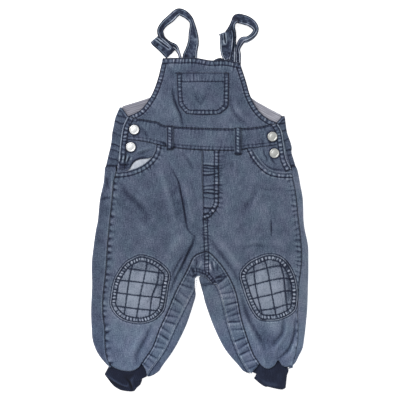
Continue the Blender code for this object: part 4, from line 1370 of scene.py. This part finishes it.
for side in OUTSEAM:
    stations = np.arange(48.5, -247, -1.6)
    sections = np.stack([leg_section(side, y, 130) for y in stations])
    down = np.broadcast_to(stations[:, None], sections.shape[:2])
    net = np.stack([sections[..., 0], down, sections[..., 1]], axis=2)
    net[..., 1] -= hem_share(net[..., 1]) * np.interp(net[..., 0], *HEM_DROP[side])
    x, y, z = (net[..., k].ravel() for k in range(3))
    over = z > 4  # what has turned over onto the top
    rise, worn = np.zeros_like(x), shade(x, y) - 0.03 - 0.08 * np.clip((-160 - y) / 60, 0, 1)
    marks(x, y, rise, worn)
    sewn = [f"outseam {side}", f"strip back {side}"] + ["outseam right low"] * (side == "right")
    rise[over], worn[over] = sew(x[over], y[over], sewn, rise[over], worn[over])
    fall, _, edge, _ = (distance.ravel() for distance in edge_distances(net))
    rise -= 0.7 * (1 - np.clip(edge / 1.6, 0, 1)) ** 2
    worn = (worn - 0.45 * bell(fall, 1.5)).reshape(net.shape[:2])
    net[..., 2] += (rise * np.clip((z - 4) / 4, 0, 1)).reshape(net.shape[:2])
    if side == "left":
        net, worn = net[:, ::-1], worn[:, ::-1]
    cloth(f"back_leg_{side}", net, worn)
    stitch_seam(f"back_leg_{side}", f"strip back {side}")
print("leg backs made")

# %% [markdown]
# ## Back above the waist, and its lining
#
# The back lies on the table, and both its sides fold over onto the front, under the button stands.
# Its upper edge runs from the sides up to the straps, with a striped lining inside.

# %% Back bib
BACK_FOLDS = [  # y, left fold, right fold
    (134, -117, 121.6),
    (120, -123, 124),
    (108, -125.6, 125.6),
    (96, -128, 127.6),
    (85, -129, 131.6),
    (76, -130.6, 134),
    (68, -132.6, 133.8),
    (56, -135.4, 137.4),
    (46.5, -137.6, 140.2),
]
BACK_TOP = [
    (-113, 136), (-68, 151), (-30, 174), (2, 186), (18, 201.5), (27, 206.4), (34, 205.4), (46, 196),
    (54, 174), (74, 149.5), (95.6, 135.7), (110.7, 127.8), (119, 123.5),
]
LIP = 6.8  # height of the folded sides
EDGE, FLAT = 13, 138  # points round a side fold, and between the folds


def back_row(t, columns=250):
    """One row of the back, from t 0 at its upper edge to 1 at the waist: lip, fold, flat, fold, lip."""
    top_line = smooth_line(BACK_TOP)
    left_y, right_y = 134 - 87.5 * t, 121.5 - 75 * t
    left, right = columns_at(BACK_FOLDS, left_y)[0], columns_at(BACK_FOLDS, right_y)[1]
    s = np.linspace(0, 1, 20)[:, None]
    inner_left, end_left = np.array([[-90, 100 - 53.5 * t, LIP]]), np.array([[left + LIP / 2, left_y, LIP]])
    inner_right, end_right = np.array([[92, 91 - 44.5 * t, LIP]]), np.array(
        [[right - LIP / 2, right_y, LIP]]
    )
    angle = np.linspace(np.pi / 2, -np.pi / 2, EDGE + 1)[1:]
    bow, z = LIP / 2 * np.cos(angle), LIP / 2 * (1 + np.sin(angle))
    fold_left = np.column_stack([left + LIP / 2 - bow, np.full(EDGE, left_y), z])
    fold_right = np.column_stack([right - LIP / 2 + bow, np.full(EDGE, right_y), z])[::-1]
    u = np.linspace(0, 1, FLAT + 2)[1:-1]
    edge = at(top_line, u * distances(top_line)[-1])
    flat_x = left + LIP / 2 + (right - left - LIP) * u
    plan = edge[:, 0] * (1 - t) + flat_x * t, edge[:, 1] * (1 - t) + 46.5 * t
    flat = np.column_stack([*plan, 0.2 * np.sin(9 * u) ** 2])
    lips = inner_left + (end_left - inner_left) * s, end_right + (inner_right - end_right) * s
    line = np.vstack([lips[0], fold_left, flat, fold_right, lips[1]])
    return at(line, np.linspace(0, distances(line)[-1], columns))[::-1]


BACK_MARKS = [  # on the left lip and the right lip: height of a dark seam line, strength
    ((122, 0.4), (112, 0.4), (94, 0.25), (77.5, 0.45), (69, 0.3), (56, 0.3)),
    ((110, 0.4), (99, 0.4), (84, 0.3), (68, 0.4), (60, 0.3)),
]
net = np.stack([back_row(t) for t in np.linspace(0, 1, 62)])
x, y, z = (net[..., k].ravel() for k in range(3))
worn = shade(x, y) - 0.07
for sign, seam_marks in zip((-1, 1), BACK_MARKS):
    for height, strength in seam_marks:
        out = y - height - 0.35 * (np.abs(x) - 118) - 0.5 * np.sin(x / 2)
        line = (x * sign > 90) * (z > 1)
        worn += line * strength * (0.25 * bell(out - 2, 1.2) - bell(out, 1.0))
        net[..., 2] += (line * 0.35 * bell(out - 2, 1.4) * (z > 6)).reshape(net.shape[:2])
down, up = edge_distances(net)[:2]
worn = worn.reshape(net.shape[:2]) - 0.45 * bell(up - 2, 1.5)
for row, width, paler in ((0.3, 0.8, -0.4), (2.7, 1.0, 0.2), (5.2, 0.8, -0.4)):
    worn = worn + paler * bell(down - row, width)
cloth("back_bib", net, worn)

# %% Lining
lining_top = [(x, y - 0.1) for x, y in BACK_TOP if y < 180]
lining_low = [(-114, 95), (117, 92)]
net = panel([lining_top[0], lining_low[0]], [lining_top[-1], lining_low[1]], lining_top, lining_low, 2.0)
down, up, across, back = edge_distances(net)
x, y = net[..., 0], net[..., 1]
worn = 0.5 + 0.001 * x + 0.06 * hills(x, y, 9, 22) - 0.12 * bell(down, 0.8)
worn -= 0.34 * bell(down - 3.2, 0.7) + 0.2 * bell(down - 7.5, 0.7)
uv = np.stack([across, down], axis=-1)
cloth("back_lining", with_height(net, 2.35 + 0.15 * hills(x, y, 12, 21)), worn, GREY_LINING, uv=uv)
print("back and lining made")

# %% [markdown]
# ## Shoulder straps
#
# A strap is a folded tube of denim, pressed flat, with a row of topstitch along each edge. It leaves the
# back, loops round on its edge, and its narrow end goes back behind the bib. `lean` is how far the strap is
# tipped out of the flat, and its sign says to which side. A leaning strap stands up steeply and folds over
# at its top, so that only a narrow side shows from above. The edges and the fold are painted pale, partly
# as wear and partly as a painted highlight. The two tabs with buttonholes lie on top of the loops.

# %% Straps and tabs
STRAPS = {  # x, y, width, lean in degrees, height of the low edge, how pale it is painted
    "strap_left": [
        (-15, 168, 21, 0, 2.6, 0.3), (-15, 196, 21, 0, 2.6, 0.3), (-14.8, 207, 21, 10, 2.3, 0.2),
        (-12.2, 217, 21, 36, 0.8, 0.24), (-9.4, 229, 21, 44, 0.4, 0.28), (-9.6, 242, 21, 54, 0.4, 0.2),
        (-10.8, 254, 21, 70, 0.4, 0.14), (-14.5, 262, 21, 67, 0.4, 0.08), (-21.5, 268.6, 21, 61, 0.4, 0.14),
        (-29.5, 272, 21, 61, 0.4, 0.06), (-35, 269.6, 21, 60, 0.4, 0.08), (-42, 263, 21, 58, 0.4, 0.2),
        (-51.8, 254.3, 21, 62, 0.4, 0.12), (-57.5, 244.5, 20, 63, 0.4, 0.02), (-54, 234, 12, 50, 0.4, 0),
        (-45, 227, 9, 30, 0.4, 0.02), (-36, 222.5, 8, 20, 0.4, 0.05), (-31, 214, 4.5, 20, 0.8, 0.3),
        (-28.5, 205, 4, 0, 2.6, 0.15), (-28.5, 190, 4, 0, 2.6, 0.3),
    ],
    "strap_right": [
        (
            43, 165, 18, 0, 2.6, 0.3,
        ), (43, 190, 18, 0, 2.6, 0.3), (43, 207, 18, 0, 2.2, 0.2), (43, 222, 20, 0, 0.6, 0.1),
        (43, 234, 20, -12, 0.4, 0.08), (
            44.6, 243, 20, -42, 0.4, 0.05,
        ), (46, 249, 20, -62, 0.4, 0.05), (48.5, 256, 20, -68, 0.4, 0.12),
        (54, 263, 20, -50, 0.4, 0.06), (62, 262, 20, -46, 0.4, 0.1), (70.5, 259, 20, -50, 0.4, 0.16),
        (78, 253, 20, -58, 0.4, 0.12), (81.2, 245.3, 20, -67, 0.4, 0.2), (77, 238, 20, -69, 0.4, 0.3),
        (69, 232.4, 20, -71, 0.4, 0.4), (61, 230.5, 17, -60, 0.4, 0.3), (55.5, 220, 9, -40, 0.6, 0.12),
        (55.5, 209, 9, -4, 2.2, 0.1), (55.5, 190, 8, 0, 2.6, 0.1),
    ],
    "strap_end_left": [
        (-66, 234.4, 15, 24, 1.0, 0.1), (-63.2, 231.4, 20.5, 36, 1.0, 0.16),
        (-54.5, 224, 21, 36, 1.0, 0.24), (-42, 211.6, 21, 34, 1.0, 0.1),
    ],
    "strap_end_right": [
        (
            37.6, 242.6, 21, 10, 10.6, 0.2,
        ), (38.9, 237.4, 20.5, 8, 9.4, 0.2), (38.9, 229, 20, 6, 5.6, 0.28), (38.6, 218, 18, 4, 3.6, 0.2),
        (39, 209, 14.5, 2, 4.4, 0.2), (39.8, 203.5, 10, 2, 4.6, 0.2),
    ],
}
BUTTONHOLES = {"strap_end_left": ((-64, 234), (-45, 220)), "strap_end_right": ((35.5, 240), (37, 228))}
STRAP_WALL = 1.6  # the folded tube's two layers
ACROSS = 29  # points across a strap
for name, rows in STRAPS.items():
    route = smooth_line(rows, 1.4)
    width, lean, base = route[:, 2:3], np.radians(route[:, 3]), route[:, 4:5]
    run = np.gradient(route[:, :2], axis=0)
    run /= np.linalg.norm(run, axis=1, keepdims=True)
    side_way = np.stack([-run[:, 1], run[:, 0]], axis=1)
    shown = np.cos(lean)[:, None]
    s = np.linspace(-0.5, 0.5, ACROSS)
    past_fold = s - 0.5 + 1.06 * shown
    steep = np.radians(86) * (1 - ease(np.clip(past_fold / 0.16 + 0.5, 0, 1))) + np.radians(5) * (1 - shown)
    step = width / (ACROSS - 1)
    flat_way, up_way = (
        np.cumsum(step * way(steep), axis=1) - step * way(steep) for way in (np.cos, np.sin)
    )
    out = flat_way - flat_way[:, -1:] / 2
    height = np.maximum(base, 0.1) + STRAP_WALL + up_way
    along = distances(route[:, :2])[:, None]
    edge_wear_and_highlight = 0
    # A pale line along both edges and the fold, partly wear and partly a painted highlight, darker right at
    # the edge.
    for which, away in enumerate([(0.5 - s) * width, (0.5 + s) * width, past_fold * width - 0.5]):
        edge_wear_and_highlight = edge_wear_and_highlight + (0.75 + 0.55 * hills(along, 40.0 * which, 17, 35)) * bell(away - 1.9, 0.6)
        edge_wear_and_highlight = edge_wear_and_highlight - 0.5 * bell(away, 0.9)
    flip = lean < 0
    out[flip], height[flip], edge_wear_and_highlight[flip] = -out[flip, ::-1], height[flip, ::-1], edge_wear_and_highlight[flip, ::-1]
    plan = route[:, None, :2] + side_way[:, None] * out[..., None]
    seen = flat_way[:, -1:] / 2 - np.abs(out)
    row = bell(seen - 3.1, 0.6)
    pucker = np.maximum(np.sin(along * 2 * np.pi / 5.3 + 3 * s), 0) * bell(seen - 4.2, 1.0)
    crumple = hills(along + 0 * s, out, 5.5, 33)
    fleck = np.maximum(hills(along + 0 * s, out, 2.6, 34), 0) - 0.25
    flat = np.clip(2.5 * shown - 1, 0, 1)
    worn = route[:, 5:] + 0.08 + 0.2 * crumple + 0.2 * fleck + 0.4 * flat * pucker
    worn = worn - 0.35 * np.maximum(flat, 0.4) * row + 0.95 * edge_wear_and_highlight
    worn -= 0.4 * bell(np.hypot(plan[..., 0] + 22, plan[..., 1] - 208), 5)
    height = np.maximum(height + 0.35 * pucker - 0.3 * row + 0.6 * crumple, STRAP_WALL)
    if name in BUTTONHOLES:
        hole = spread(np.array(BUTTONHOLES[name], float), 1.0)
        near = place_on(hole, plan[..., 0].ravel(), plan[..., 1].ravel())[1].reshape(height.shape)
        height -= 0.8 * bell(near, 0.8)
        worn += 0.6 * bell(np.abs(near) - 1.9, 0.9) - 0.5 * bell(near, 0.9)
    uv = np.stack([s * width, np.broadcast_to(along, height.shape)], axis=-1)
    cloth(name, with_height(plan, height), worn, thickness=STRAP_WALL, uv=uv)
print("straps made")

# %% [markdown]
# ## Rib cuffs
#
# A cuff is a short tube of rib, knitted so that columns stand up and sink in turn. Its upper end is
# gathered into the hem, so the hem hangs over it like a bell.

# %% Cuffs
CUFFS = {
    "left": {
        "outer": [(-122, -236), (-131, -241), (-139, -254.6)],
        "inner": [
            (-75, -240), (-74.8, -251), (-76.4, -256.8), (-80, -258.8), (-83.2, -258.4), (-84.3, -264),
            (-86.7, -270),
        ],
        "top": [(-122, -236), (-102, -240), (-75, -240)],
        "mouth": [
            (-139, -254.6), (-127, -269.5), (-119, -275.5), (-111, -278.4), (-97, -279.4), (-92.5, -275),
            (-86.7, -270),
        ],
    },
    "right": {
        "outer": [(76, -240), (76.2, -250.5), (81.6, -253.4), (81, -256.5), (78.2, -260.4)],
        "inner": [(124, -238), (129.2, -248), (127, -256), (126, -265), (125, -274.8)],
        "top": [(76, -240), (102, -235), (113, -229), (124, -238)],
        "mouth": [
            (78.2, -260.4), (88.7, -269), (95, -272.6), (99, -272.6), (108, -275), (119, -276.9),
            (125, -274.8),
        ],
    },
}
CUFF_CREASES = [  # half width, height, points
    (1.4, -2.2, [(-108, -259), (-103, -264), (-100, -270), (-98, -278)]),
    (1.3, 1.5, [(-136, -255), (-121, -265), (-106, -271), (-102.5, -263)]),
    (1.6, -1.2, [(-134, -260), (-119, -269), (-105, -274)]),
    (2.2, 1.0, [(-96, -257), (-99, -263), (-97, -272)]),
    (3, -0.9, [(-112, -256), (-103, -257), (-95, -254)]),
    (2.5, 0.6, [(90, -262), (100, -268), (112, -270)]),
]
RIBS = 23  # knitted columns across the front of a cuff
CUFF_TONE = {"left": 0.40, "right": 0.46}
for side, cuff in CUFFS.items():
    plan = panel(cuff["outer"], cuff["inner"], cuff["top"], cuff["mouth"], 0.55)[::2]
    rows, columns = plan.shape[:2]
    t, s = np.linspace(0, 1, rows)[:, None], np.linspace(0, 1, columns)[None]
    u = 2 * s - 1
    deep = 7.3 + 1.5 * np.clip((t - 0.2) / 0.8, 0, 1)
    round_up = np.sqrt(np.clip(1 - np.abs(u) ** 4, 0, 1))
    ribs = 0.5 + 0.5 * np.cos(2 * np.pi * RIBS * s)
    lift = 1.35 * (1 - t**3)
    x, y = plan[..., 0].ravel(), plan[..., 1].ravel()
    fold = np.zeros_like(x)
    for width, size, points in CUFF_CREASES:
        line = smooth_line(points)
        along, out = place_on(line, x, y)
        share = np.clip(along / distances(line)[-1], 0.02, 0.98)
        fold += size * np.sin(np.pi * share) ** 0.5 * bell(out, width)
    fold = fold.reshape(rows, columns)
    ridge = bell(edge_distances(plan)[1] - 6, 1.2)
    upper = lift + deep / 2 * (1 + round_up) + 0.25 * ribs * round_up + fold * round_up + 0.2 * ridge
    lower = np.maximum(lift + deep / 2 * (1 - round_up) - 0.2 * ribs * round_up, 0.05)
    # Fold crests and the ridge above the mouth painted paler, fold troughs darker: painted light and shade.
    top_wear_and_shade = CUFF_TONE[side] + 0.14 * ribs + 0.26 * fold + 0.05 * ridge
    top_wear_and_shade = top_wear_and_shade + 0.05 * hills(plan[..., 0], plan[..., 1], 9, 41)
    low_wear_and_shade = 0.4 + 0.16 * np.broadcast_to(ribs, (rows, columns))
    back = plan.copy()
    back[..., 1] -= 1.2 * t * (1 - u * u)
    net = np.concatenate([np.dstack([plan, upper]), np.dstack([back, lower])[:, -2:0:-1]], axis=1)
    worn = np.concatenate([top_wear_and_shade, low_wear_and_shade[:, -2:0:-1]], axis=1)
    cloth(f"cuff_{side}", net, worn, NAVY_RIB, 1.2, closed=True)
print("cuffs made")

# %% [markdown]
# ## Buttons
#
# Four flat metal buttons close the sides. Each is turned from one profile: a low dome, a shallow groove
# and a rolled rim.

# %% Buttons
PROFILE = [  # radius, height: from the middle of the face over the rim to the middle of the back
    (0, 2.7), (1.6, 2.65), (3.0, 2.5), (4.2, 2.25), (4.9, 2.1), (5.3, 2.25), (5.8, 2.7), (6.3, 2.75),
    (6.8, 2.4), (7.0, 1.8), (6.8, 1.1), (6.2, 0.6), (4.0, 0.1), (1.5, 0.0), (0, 0.0),
]
FACETS = 48
turn = np.linspace(0, 2 * np.pi, FACETS, endpoint=False)
ring = np.array(PROFILE[1:-1])
round_way = [ring[:, :1] * np.cos(turn), ring[:, :1] * np.sin(turn), ring[:, 1:] + 0 * turn]
points = np.vstack(
    [np.stack(round_way, axis=-1).reshape(-1, 3), [[0, 0, PROFILE[0][1]], [0, 0, PROFILE[-1][1]]]]
)
top_point, low_point, last = len(points) - 2, len(points) - 1, (len(ring) - 1) * FACETS
faces = []
for k in range(FACETS):
    m = (k + 1) % FACETS
    faces.append([top_point, k, m])
    faces += [[r + k, r + FACETS + k, r + FACETS + m, r + m] for r in range(0, last, FACETS)]
    faces.append([low_point, last + m, last + k])
for name, (x, y, lift) in BUTTONS.items():
    base = max(lie(x + 4 * np.cos(turn[::6]), y + 4 * np.sin(turn[::6]))) + lift
    made_pieces[name] = put(name + "_metal", smooth_mesh(name, points + [x, y, base], faces, PALE_METAL))
print("buttons made")

# %% [markdown]
# ## Topstitching
#
# Every stitch is a short, fat thread lying in its groove. Geometry Nodes walks each kept path, sets a
# point for every stitch and puts a small closed bead there, turned along the path and slightly uneven.


# %% The stitch maker
def stitch_nodes():
    """The node group that turns paths into beads of thread, and the identifiers of its inputs."""
    group = bpy.data.node_groups.new("stitches", "GeometryNodeTree")
    face = group.interface
    face.new_socket("Geometry", in_out="INPUT", socket_type="NodeSocketGeometry")
    sockets = {}
    for label, value in (("Pitch", 0.003), ("Length", 0.0023), ("Width", 0.0008)):
        made = face.new_socket(label, in_out="INPUT", socket_type="NodeSocketFloat")
        made.default_value = value
        sockets[label] = made.identifier
    face.new_socket("Thread", in_out="INPUT", socket_type="NodeSocketMaterial")
    sockets["Thread"] = face.items_tree["Thread"].identifier
    face.new_socket("Geometry", in_out="OUTPUT", socket_type="NodeSocketGeometry")
    def add(kind, **inputs):
        node = group.nodes.new(kind)
        for key, value in inputs.items():
            node.inputs[int(key[1:]) if key[1:].isdigit() else key].default_value = value
        return node

    given, result = add("NodeGroupInput"), add("NodeGroupOutput")
    paths, spots = add("GeometryNodeMeshToCurve"), add("GeometryNodeCurveToPoints")
    spots.mode = "LENGTH"
    turn = add("FunctionNodeAlignRotationToVector")
    turn.axis = "X"
    bead = add("GeometryNodeMeshUVSphere", Segments=6, Rings=4, Radius=0.5)
    uneven = add("FunctionNodeRandomValue", i2=0.8, i3=1.15, Seed=7)
    size, longer = add("ShaderNodeCombineXYZ"), add("ShaderNodeMath")
    longer.operation = "MULTIPLY"
    place, real = add("GeometryNodeInstanceOnPoints"), add("GeometryNodeRealizeInstances")
    paint = add("GeometryNodeSetMaterial")
    for source, output, target, slot in (
        (given, "Geometry", paths, "Mesh"),
        (paths, "Curve", spots, "Curve"),
        (given, "Pitch", spots, "Length"),
        (spots, "Tangent", turn, "Vector"),
        (given, "Length", longer, 0),
        (uneven, 1, longer, 1),
        (longer, 0, size, "X"),
        (given, "Width", size, "Y"),
        (given, "Width", size, "Z"),
        (spots, "Points", place, "Points"),
        (bead, "Mesh", place, "Instance"),
        (turn, "Rotation", place, "Rotation"),
        (size, 0, place, "Scale"),
        (place, "Instances", real, "Geometry"),
        (real, "Geometry", paint, "Geometry"),
        (given, "Thread", paint, "Material"),
        (paint, "Geometry", result, "Geometry"),
    ):
        group.links.new(source.outputs[output], target.inputs[slot])
    return group, sockets


STITCHES, SOCKETS = stitch_nodes()


def sew_rows(name, paths, pitch=3.0, length=2.3, width=0.65):
    """One piece with the stitches of all the paths; the guide that carries the nodes is removed again."""
    points, edges = [], []
    for path in paths:
        first = len(points)
        points += (np.array(path) * MM).tolist()
        edges += [(k, k + 1) for k in range(first, len(points) - 1)]
    mesh = bpy.data.meshes.new(name)
    mesh.from_pydata(points, edges, [])
    guide = put(name + "_paths", mesh)
    maker = guide.modifiers.new("Stitches", "NODES")
    maker.node_group = STITCHES
    settings = {"Pitch": pitch * MM, "Length": length * MM, "Width": width * MM, "Thread": NAVY_THREAD}
    for label, value in settings.items():
        maker[SOCKETS[label]] = value
    graph = bpy.context.evaluated_depsgraph_get()
    sewn = bpy.data.meshes.new_from_object(guide.evaluated_get(graph))
    bpy.data.objects.remove(guide)
    sewn.polygons.foreach_set("use_smooth", np.ones(len(sewn.polygons), bool))
    return put(name, sewn)


stitching = {owner: sew_rows(owner + "_stitches", paths) for owner, paths in stitch_rows.items()}
BEAD_FACES = 24
print("stitches:", {name: len(piece.data.polygons) // BEAD_FACES for name, piece in stitching.items()})

# %% [markdown]
# ## Each piece on the body
#
# Every piece rides on the one body, and the CAD part of its name is hidden. For each cloth, the size it
# was cut to is worked out, measured along the cloth itself.

# %% Bodies
SLOTS = {
    "knee": "pale_denim",
    "cuff": "navy_rib",
    "back_lining": "grey_lining",
    "pocket_bag": "white_pocketing",
    "button": "pale_metal",
}
RESTS = {
    "bib_front": ["back_lining"],
    "bib_pocket": ["bib_front"],
    "waistband_front": ["back_bib"],
    "side_panel": ["back_bib"],
    "pocket_bag_left": ["back_leg_left"],
    "front_left": ["back_leg_left"],
    "front_right": ["back_leg_right"],
    "inseam_placket_left": ["back_leg_left"],
    "inseam_placket_right": ["back_leg_right"],
    "fly_front": ["front_right"],
    "placket_left": ["waistband_front"],
    "placket_right": ["waistband_front"],
    "belt_loop": ["waistband_front"],
    "knee_patch_left": ["front_left"],
    "knee_patch_right": ["front_right"],
    "back_lining": ["back_bib"],
    "strap_end_left": ["strap_left"],
    "strap_end_right": ["strap_right"],
}


LEAST_FILL = 0.34  # a curved strip's width is stated so that its cloth fills at least this share
LEAST_FLAT = 10.05  # mm, the smallest side reckoned for a sheet


def by_start(table, name, default):
    return next((value for start, value in table.items() if name.startswith(start)), default)


for name, piece in made_pieces.items():
    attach(piece, "root")
    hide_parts(name)
    by_start(SLOTS, name, "washed_denim")
    if name in cuts:
        wide, long, area = cuts[name]
        wide = min(wide, area / (LEAST_FILL * long))
        flat = tuple(round(max(side, LEAST_FLAT) * MM, 4) for side in (wide, long))
        area = min(area * MM * MM, flat[0] * flat[1])
        under = by_start(RESTS, name, [])
for piece in stitching.values():
    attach(piece, "root")
every = [*made_pieces.values(), *stitching.values()]
triangles = {piece.name: sum(len(face.vertices) - 2 for face in piece.data.polygons) for piece in every}
print(
    "triangles:", sum(triangles.values()), "most:", max(triangles, key=triangles.get),
    max(triangles.values()),
)

# %% [markdown]
# ## Floor, light and camera
#
# The garment lies on a bright table under one large soft light, from above the upper left, with white
# light all round. The table glows a little itself, so that it stays white. The camera looks straight down.

# %% Floor
bpy.ops.mesh.primitive_plane_add(size=24, location=(0, 0, -0.0006))
floor = bpy.context.object
floor.name = "floor"
paint = new_finish("white_table")[1]
glow = {"Emission_Color": (1, 1, 1, 1), "Emission_Strength": 0.75}
floor.data.materials.append(paint((0.93, 0.93, 0.93, 1), Roughness=0.9, Specular_IOR_Level=0.0, **glow))

# %% Light and camera
world = bpy.data.worlds.new("bright_room")
bpy.context.scene.world = world
world.use_nodes = True
sky = world.node_tree.nodes["Background"].inputs
sky["Color"].default_value, sky["Strength"].default_value = (1.0, 1.0, 1.0, 1), 0.62
lamp = bpy.data.lights.new("soft_box", "AREA")
lamp.shape, lamp.size, lamp.energy = "DISK", 0.9, 14
soft_box = put("soft_box", lamp)
soft_box.location = (-0.7, 0.75, 1.3)
soft_box.rotation_euler = (math.radians(-30), math.radians(-28), 0)
camera = put("camera", bpy.data.cameras.new("camera"))
camera.data.lens, camera.data.sensor_width = 85, 36
camera.location = (0.0002, -0.0008, 1.38)
bpy.context.scene.camera = camera
bpy.context.scene.view_settings.view_transform = "Standard"
